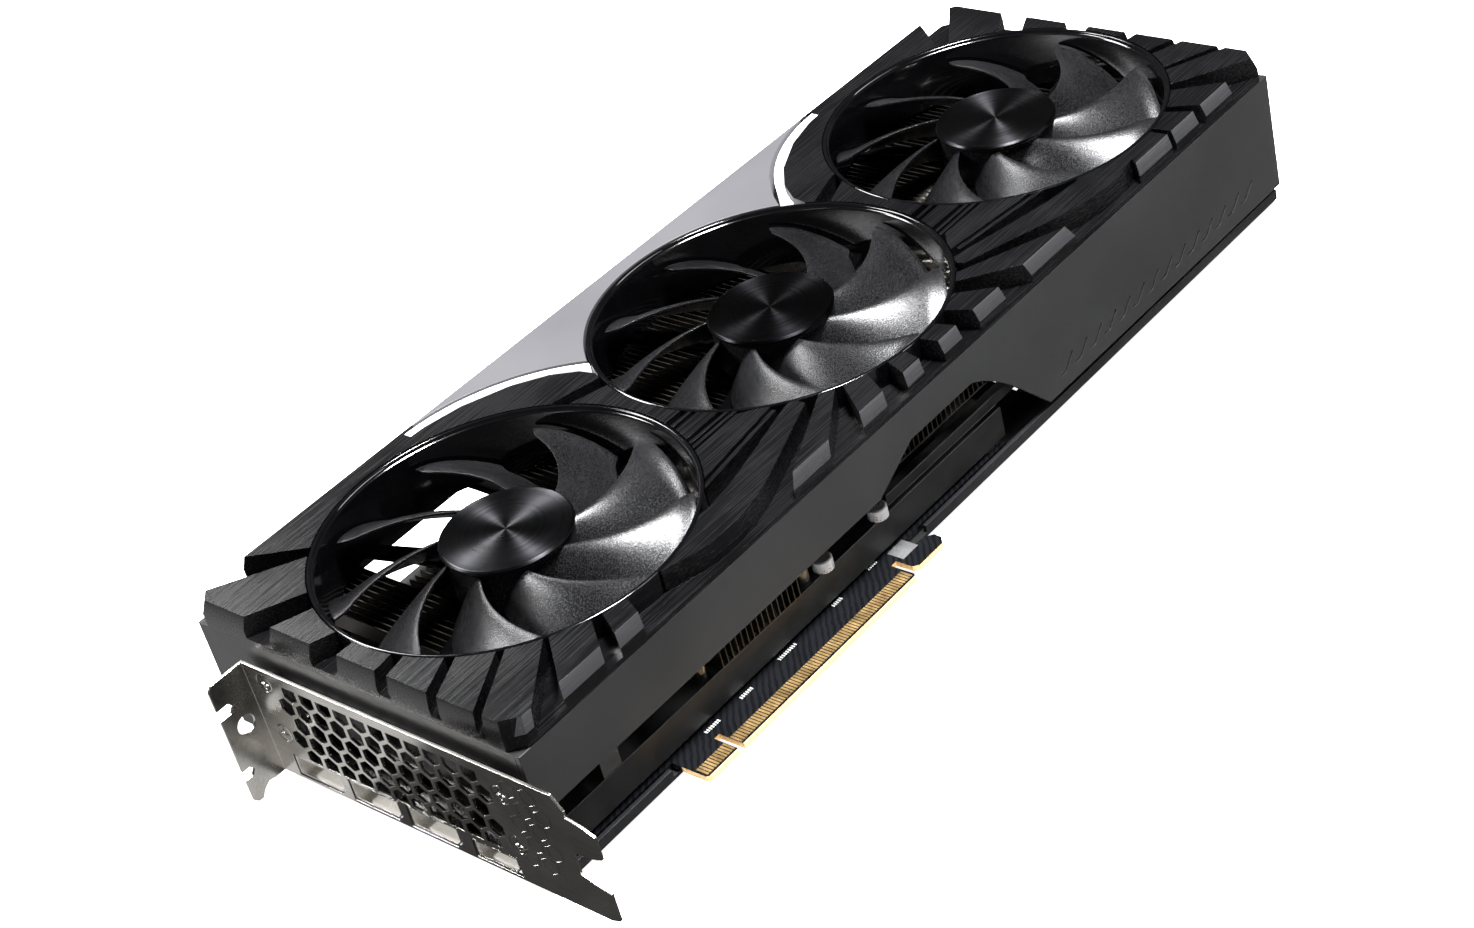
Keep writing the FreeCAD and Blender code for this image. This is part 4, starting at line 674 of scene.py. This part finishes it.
@dataclass
class Fan:
    """One axial fan: gloss ring with struts, bladed rotor and hub cap.

    Attributes:
        number: which fan, from the bracket.
        phase: angle of the first blade, in degrees.
        ring_inner: inner radius of the ring.
        ring_outer: outer radius of the ring.
        floor: lowest level of the fan.
        top: level of the ring's lip.
        hub: radius of the hub cup.
        blades: number of blades.
        rotor: radius of the blade tips.
        sweep: how far a blade leans forward from hub to tip, in degrees.
        span: chord of a blade at the hub, in degrees.
        blade_fall: drop from a blade's leading to its trailing edge.
        thickness: thickness of a blade.
    """

    number: int
    phase: float
    ring_inner: float = 49.6
    ring_outer: float = 51.4
    floor: float = 28.0
    top: float = 46.0
    hub: float = 17.2
    blades: int = 9
    rotor: float = 48.0
    sweep: float = 43.0
    span: float = 30.0
    blade_fall: float = 10.5
    thickness: float = 1.5

    def __post_init__(self) -> None:
        """Reads the fan's axis and levels from its CAD nodes."""
        low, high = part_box(f"hub_cap_{self.number}")
        self.centre = ((low.x + high.x) / 2 / MM, (low.y + high.y) / 2 / MM)
        self.cap_low, self.cap_top = low.z / MM, high.z / MM
        self.cap_radius = (high.x - low.x) / 2 / MM

    def blade_point(self, share: float, t: float, under: bool) -> Vector:
        """One point of a blade's surface.

        Args:
            share: how far from hub to tip, 0 to 1.
            t: how far from the leading to the trailing edge, 0 to 1.
            under: the lower side instead of the upper one.

        Returns:
            The point in millimetres, about the fan's axis.
        """
        root, tip = self.hub - 0.8, self.rotor + 2
        radius = root + (tip - root) * share
        lead = self.sweep * share ** 0.85 - 5.0 * max(0.0, share - 0.8) / 0.2
        span = self.span * (1.0 - 0.12 * share)
        middle, half = math.radians(lead - span / 2), radius * math.tan(math.radians(span / 2))
        out = Vector((math.cos(middle), math.sin(middle), 0))
        side = Vector((-math.sin(middle), math.cos(middle), 0))
        fall = self.blade_fall * (1 - 0.12 * share) * t ** 1.35
        level = self.cap_low - 0.9 - share - fall + 3.6 * t * (1 - t)
        if under:
            level -= self.thickness * (0.45 + 1.8 * t * (1 - t))
        return out * radius + side * (half * (1 - 2 * t)) + Vector((0, 0, level))

    def reach(self, t: float) -> float:
        """Share at which a blade's line meets the tip radius.

        Args:
            t: how far from the leading to the trailing edge.

        Returns:
            The share, found by halving.
        """
        low, high = 0.5, 1.0
        for _ in range(30):
            middle = (low + high) / 2
            spot = self.blade_point(middle, t, False)
            inside = math.hypot(spot.x, spot.y) < self.rotor
            low, high = (middle, high) if inside else (low, middle)
        return low

    def blade(self) -> bpy.types.Object:
        """One blade as a closed shell with a rounded rim, about the Z axis.

        Returns:
            The blade.
        """
        rows, columns = 22, 18
        shape = bmesh.new()
        sheets: list[list[list[bmesh.types.BMVert]]] = []
        for under in (False, True):
            sheet = []
            for j in range(columns + 1):
                t = 0.5 - 0.5 * math.cos(math.pi * j / columns)
                far = self.reach(t)
                sheet.append([shape.verts.new(self.blade_point(far * i / rows, t, under) * MM)
                              for i in range(rows + 1)])
            sheets.append(sheet)
        upper, lower = sheets
        for sheet in sheets:
            for j in range(columns):
                for i in range(rows):
                    shape.faces.new((sheet[j][i], sheet[j][i + 1], sheet[j + 1][i + 1], sheet[j + 1][i]))
        for j in (0, columns):
            for i in range(rows):
                shape.faces.new((upper[j][i], upper[j][i + 1], lower[j][i + 1], lower[j][i]))
        for i in (0, rows):
            for j in range(columns):
                shape.faces.new((upper[j][i], upper[j + 1][i], lower[j + 1][i], lower[j][i]))
        bmesh.ops.recalc_face_normals(shape, faces=shape.faces)
        item = new_object("blade", shape)
        bevel = item.modifiers.new("rim", "BEVEL")
        bevel.limit_method, bevel.angle_limit = "ANGLE", math.radians(50)
        bevel.width, bevel.segments = 0.24 * MM, 2
        return flatten(item)

    def build_rotor(self, tree: bpy.types.NodeTree) -> None:
        """Builds the bladed rotor and its hub cup.

        Args:
            tree: the tree that turns copies about an axis.
        """
        blade = self.blade()
        blade.data.transform(Matrix.Rotation(math.radians(self.phase), 4, "Z"))
        x, y = self.centre
        vanes = grow(blade, tree, Count=self.blades, Step=2 * math.pi / self.blades,
                     Centre=(x * MM, y * MM, 0.0), Material=PALETTE["blade_plastic"])
        top, foot, wall = self.cap_low, self.floor + 2.8, 1.6
        outline = [(0, top), (self.hub - 0.9, top), (self.hub - 0.25, top - 0.25), (self.hub, top - 0.9),
                   (self.hub, foot + 0.3), (self.hub - 0.3, foot), (self.hub - wall, foot),
                   (self.hub - wall, top - wall), (1.5, top - wall), (1.5, top - 0.2), (0, top - 0.2)]
        cup = turned("cup", outline, self.centre, 96)
        rotor = join(f"rotor_{self.number}", [vanes, cup])
        finish_piece(rotor, "blade_plastic", f"fan_{self.number}", [f"fan_rotor_{self.number}"], 40)

    def build_cap(self) -> None:
        """Builds the spun hub cap with its chamfered rim."""
        r, top, low = self.cap_radius, self.cap_top, self.cap_low
        slot = "cap_gloss" if self.number == 2 else "cap_metal"
        face = [(float(k), top - 0.05) for k in range(int(r) - 1)]
        rim = [(r - 1.0, top - 0.05), (r - 0.75, top), (r - 0.45, top - 0.08), (r - 0.05, top - 0.5),
               (r, top - 0.65), (r, low + 0.15), (r - 0.15, low), (0, low)]
        cap = turned(f"cap_{self.number}", face + rim, self.centre, 160)
        finish_piece(cap, slot, f"fan_{self.number}", [f"hub_cap_{self.number}"], 25)

    def build_ring(self, tree: bpy.types.NodeTree) -> None:
        """Builds the fixed housing: stepped ring, struts, base, bearing tube and ears.

        Args:
            tree: the tree that turns copies about an axis.
        """
        inner, outer, low, top = self.ring_inner, self.ring_outer, self.floor, self.top
        centre = (self.centre[0] * MM, self.centre[1] * MM, 0.0)
        outline = [(outer, low), (outer, top - 0.45), (outer - 0.12, top - 0.15), (outer - 0.4, top),
                   (outer - 0.75, top), (outer - 1.0, top - 0.14), (outer - 1.12, top - 0.4),
                   (outer - 1.2, top - 0.75), (outer - 1.45, top - 0.95), (outer - 1.7, top - 1.1),
                   (inner, top - 1.6), (inner, low + 2.6), (inner - 0.2, low)]
        lip = turned("lip", outline, self.centre, 192)
        corners = [(self.hub - 2, -2.6), (inner - 0.6, 8.4), (inner - 1.4, 12.4), (self.hub - 3, 3.4)]
        strut = plate("strut", corners, low, low + 2.4, 0.5)
        quarter = math.pi / 2
        struts = grow(strut, tree, Count=4, Step=quarter, Centre=centre, Material=PALETTE["ring_gloss"])
        a, b = (outer - 0.9) * math.sqrt(0.5), (outer + 4.6) * math.sqrt(0.5)
        ear = plate("ear", [(a - 3, a + 3), (a + 3, a - 3), (b + 2.2, b - 2.2), (b - 2.2, b + 2.2)],
                    top - 10.4, top - 8.0, 0.3)
        ears = grow(ear, tree, Count=4, Step=quarter, Centre=centre, Material=PALETTE["ring_gloss"])
        disc = [(0, low), (self.hub - 0.3, low), (self.hub, low + 0.3), (self.hub, low + 1.3),
                (self.hub - 0.3, low + 1.6)]
        tube = [(3.4, low + 1.6), (3.4, low + 11.8), (1.55, low + 11.8), (1.55, low + 1.6), (0, low + 1.6)]
        base = turned("base", disc + tube, self.centre, 64)
        whole = join(f"fan_ring_{self.number}", [lip, struts, ears, base])
        finish_piece(whole, "ring_gloss", "card", [f"fan_frame_{self.number}"], 40)

    def build(self, tree: bpy.types.NodeTree) -> None:
        """Builds the whole fan.

        Args:
            tree: the tree that turns copies about an axis.
        """
        self.build_ring(tree)
        self.build_rotor(tree)
        self.build_cap()


@dataclass
class Covers:
    """Fascia, skirts, end walls, panel, bracket and its stay, cooler frame, backplate and power header.

    Attributes:
        nodes: the CAD nodes by name.
        rounding: width of the covers' rounded edges.
    """

    nodes: dict[str, bpy.types.Object]
    rounding: float = 0.35

    def build(self) -> None:
        """Rounds the covers' edges."""
        for name, slot, width in (
                ("fascia", "fascia_plastic", self.rounding),
                ("skirt_lower", "skirt_plastic", self.rounding),
                ("skirt_upper", "skirt_plastic", self.rounding),
                ("end_wall_near", "skirt_plastic", self.rounding),
                ("end_wall_far", "skirt_plastic", self.rounding),
                ("bracket", "bracket_nickel", 0.14), ("bracket_stay", "bracket_nickel", 0.14),
                ("cooler_frame", "frame_paint", 0.2), ("backplate", "backplate_paint", 0.2),
                ("power_header", "header_nylon", 0.15), ("accent_panel", "panel_paint", 0.2)):
            item = soften(self.nodes[name], f"{name}_rounded", width)
            finish_piece(item, slot, "card", [name], None)


@dataclass
class Markings:
    """Pressed cells on the bracket, and the label, marks and cans along the board's lower edge.

    Attributes:
        cell: width of one pressed cell across its flats.
        line: width of a cell's raised outline.
        raised: height of the outline.
        pitch: spacing of the cells in a row.
        row: spacing of the rows.
        middle: level of the middle row.
        first_even: where an even row's first cell lies along the bracket, counted from the middle row.
        first_odd: where an odd row's first cell lies.
        sunk: how far the outlines start inside the bracket's sheet.
        dash: length, height and spacing of the printed dashes.
        dash_rows: X, Y and number of dashes of each row.
        label: two opposite corners of the grey label.
        cans: centres of the two cans.
        can_radius: radius of a can.
        can_levels: a can's foot, the foot of its rounding, and its top.
    """

    cell: float = 5.1
    line: float = 0.55
    raised: float = 0.2
    pitch: float = 6.46
    row: float = 5.4
    middle: float = 17.6
    first_even: float = 8.6
    first_odd: float = 5.4
    sunk: float = 0.02
    dash: Point = (0.45, 1.1, 0.8)
    dash_rows: tuple[tuple[float, float, int], ...] = (
        (127.0, 13.2, 5), (111.0, 12.4, 5), (88.0, 11.9, 9), (72.0, 11.4, 6), (58.0, 11.2, 7))
    label: tuple[tuple[float, float], tuple[float, float]] = ((134.5, 7.5), (141.0, 13.0))
    cans: tuple[tuple[float, float], ...] = ((113.2, 15.0), (136.6, 15.0))
    can_radius: float = 2.9
    can_levels: Point = (10.52, 13.6, 13.9)

    def cell_ring(self) -> bpy.types.Object:
        """One raised six-sided outline that stands out of the bracket's face.

        Returns:
            The outline, about the X axis.
        """
        shape = bmesh.new()
        wide = self.cell / math.sqrt(3)
        loops = []
        slope = 0.12
        for radius, x in ((wide, 0.0), (wide - slope, -self.raised),
                          (wide - self.line + slope, -self.raised), (wide - self.line, 0.0)):
            turns = (math.radians(30 + 60 * k) for k in range(6))
            loops.append([shape.verts.new((x * MM, radius * math.cos(a) * MM, radius * math.sin(a) * MM))
                          for a in turns])
        for inner, outer in zip(loops, loops[1:] + loops[:1]):
            for k in range(6):
                shape.faces.new((outer[k], outer[k - 5], inner[k - 5], inner[k]))
        bmesh.ops.recalc_face_normals(shape, faces=shape.faces)
        return new_object("cell", shape)

    def build_cells(self, tree: bpy.types.NodeTree) -> None:
        """Lays the pressed cells beside the vents.

        Args:
            tree: the tree that lays copies in a row.
        """
        rows = []
        for level in range(-2, 3):
            first = self.first_odd if level % 2 else self.first_even
            start = (self.sunk * MM, first * MM, (self.middle + level * self.row) * MM)
            rows.append(grow(self.cell_ring(), tree, Count=2, Start=start,
                             Step=(0.0, self.pitch * MM, 0.0), Material=PALETTE["bracket_nickel"]))
        finish_piece(join("pressed_cells", rows), "bracket_nickel", "card")

    def build_marks(self, tree: bpy.types.NodeTree) -> None:
        """Prints rows of short plain dashes and the grey label on the board.

        Args:
            tree: the tree that lays copies in a row.
        """
        rows = []
        long, high, apart = self.dash
        for x, y, count in self.dash_rows:
            dash = plate("dash", [(0, 0), (long, 0), (long, high), (0, high)], 0.0, 0.03, 0.0)
            rows.append(grow(dash, tree, Count=count, Start=(x * MM, y * MM, 0.0),
                             Step=(apart * MM, 0.0, 0.0), Material=PALETTE["led_board"]))
        finish_piece(join("board_marks", rows), "led_board", "card")
        (near, low), (far, top) = self.label
        label = plate("board_label", [(near, low), (far, low), (far, top), (near, top)], 0.0, 0.06, 0.0)
        finish_piece(label, "choke_ferrite", "card")

    def build_cans(self) -> None:
        """Stands the tops of two drawn cans on the frame behind the side cut-out."""
        foot, shoulder, top = self.can_levels
        r = self.can_radius
        outline = [(0, top), (r - 0.4, top), (r, shoulder), (r, foot), (0, foot)]
        for number, centre in enumerate(self.cans, 1):
            can = turned(f"edge_can_{number}", outline, centre, 32)
            finish_piece(can, "can_aluminium", "card")

    def build(self, tree: bpy.types.NodeTree) -> None:
        """Builds every mark.

        Args:
            tree: the tree that lays copies in a row.
        """
        self.build_cells(tree)
        self.build_marks(tree)
        self.build_cans()


@dataclass
class Carried:
    """CAD nodes that keep their shape and get a finish.

    Attributes:
        nodes: the CAD nodes by name.
        slots: material slot by node name.
    """

    nodes: dict[str, bpy.types.Object]
    slots: dict[str, str]

    def build(self) -> None:
        """Gives each node that still shows its material."""
        for name, node in self.nodes.items():
            slot = self.slots[name]
            node.data.materials.clear()
            node.data.materials.append(PALETTE[slot])


@dataclass(frozen=True)
class Lamp:
    """One soft light.

    Attributes:
        name: where it stands.
        place: its centre in millimetres.
        aim: the point it shines at.
        size: its two sides.
        power: its power in watts.
    """

    name: str
    place: Point
    aim: Point
    size: tuple[float, float]
    power: float

    def build(self) -> None:
        """Adds the light to the scene."""
        data = bpy.data.lights.new(self.name, "AREA")
        data.shape, data.size, data.size_y = "RECTANGLE", self.size[0] * MM, self.size[1] * MM
        data.energy = self.power
        item = bpy.data.objects.new(self.name, data)
        item.visible_camera = False
        place, aim = Vector(self.place) * MM, Vector(self.aim) * MM
        item.location = place
        item.rotation_mode = "QUATERNION"
        item.rotation_quaternion = (aim - place).to_track_quat("-Z", "Y")
        bpy.context.scene.collection.objects.link(item)


@dataclass
class Studio:
    """Camera, pale floor, pale surroundings and soft lights.

    Attributes:
        place: the camera's place in millimetres.
        azimuth: way it looks, in degrees from +X towards +Y.
        dip: degrees that it looks down.
        roll: degrees that the card's Z axis leans left.
        lens: focal length in millimetres on a 36 mm sensor.
        reach: half the floor's side, in metres.
        fill: strength of the even light from all round.
        lamps: the soft lights.
    """

    place: Point = (-265.736, -392.731, 421.176)
    azimuth: float = 48.577
    dip: float = 33.83
    roll: float = 15.27
    lens: float = 65.96
    reach: float = 6.0
    fill: float = 0.08
    lamps: tuple[Lamp, ...] = (
        Lamp("overhead", (310, -130, 1000), (160, 60, 40), (210, 210), 46.0),
        Lamp("back", (200, 760, 740), (160, 60, 40), (360, 160), 7.0),
        Lamp("side", (800, -900, 110), (160, 60, 20), (800, 200), 6.5),
        Lamp("left", (-300, 680, 600), (0, 60, 20), (250, 200), 8.0),
        Lamp("bracket bounce", (-60.5, 190, -5.5), (-60.5, 190, 100), (119, 210), 0.065),
        Lamp("front bounce", (400, -330, -5.5), (400, -330, 100), (700, 350), 0.25),
    )

    def build_camera(self) -> None:
        """Adds the camera and makes it the scene's own."""
        a, d, r = (math.radians(v) for v in (self.azimuth, self.dip, self.roll))
        forward = Vector((math.cos(a) * math.cos(d), math.sin(a) * math.cos(d), -math.sin(d)))
        level = Vector((math.sin(a), -math.cos(a), 0))
        rise = level.cross(forward)
        right = level * math.cos(r) - rise * math.sin(r)
        up = rise * math.cos(r) + level * math.sin(r)
        data = bpy.data.cameras.new("camera")
        data.lens, data.sensor_width, data.sensor_fit = self.lens, 36.0, "HORIZONTAL"
        data.clip_start, data.clip_end = 0.01, 20.0
        item = bpy.data.objects.new("camera", data)
        matrix = Matrix((right, up, -forward)).transposed().to_4x4()
        matrix.translation = Vector(self.place) * MM
        item.matrix_world = matrix
        bpy.context.scene.collection.objects.link(item)
        bpy.context.scene.camera = item

    def build_floor(self, level: float) -> None:
        """Adds the pale floor.

        Args:
            level: the floor's height in metres.
        """
        shape = bmesh.new()
        bmesh.ops.create_grid(shape, x_segments=1, y_segments=1, size=self.reach)
        item = new_object("floor", shape)
        item.location.z = level
        item.visible_glossy = False
        material = bpy.data.materials.new("pale floor")
        material.use_nodes = True
        tree = material.node_tree
        tree.nodes.clear()
        shader = add(tree, "ShaderNodeBsdfPrincipled", {},
                     {"Base Color": linear("#fbfbfb"), "Roughness": 0.8,
                      "Emission Color": linear("#ffffff"), "Emission Strength": 1.0})
        add(tree, "ShaderNodeOutputMaterial", {}, {"Surface": shader.outputs[0]})
        item.data.materials.append(material)
        item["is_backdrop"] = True

    def build_world(self) -> None:
        """Fills the surroundings with even pale light."""
        world = bpy.data.worlds.new("studio")
        world.use_nodes = True
        tree = world.node_tree
        tree.nodes.clear()
        shade = add(tree, "ShaderNodeBackground", {}, {"Color": linear("#ffffff"), "Strength": self.fill})
        add(tree, "ShaderNodeOutputWorld", {}, {"Surface": shade.outputs[0]})
        bpy.context.scene.world = world

    def build(self, level: float) -> None:
        """Builds the whole studio.

        Args:
            level: the floor's height in metres.
        """
        self.build_camera()
        self.build_floor(level)
        self.build_world()
        for lamp in self.lamps:
            lamp.build()
        bpy.context.scene.view_settings.view_transform = "Standard"


def main() -> None:
    """Builds the card and the studio."""
    logging.basicConfig(level=logging.INFO, format="%(name)s %(message)s")
    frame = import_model()
    cad_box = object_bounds()
    nodes = frame["nodes"]
    slots = {part["node"]: part["material_slot"] for part in frame["record"]["subparts"]}
    Studio().build(cad_box[0].z)
    round_copies = round_tree()
    for number, phase in enumerate(FAN_PHASES, 1):
        Fan(number, phase).build(round_copies)
    Covers(nodes).build()
    Markings().build(row_tree())
    Carried(nodes, slots).build()


if __name__ == "__main__":
    main()
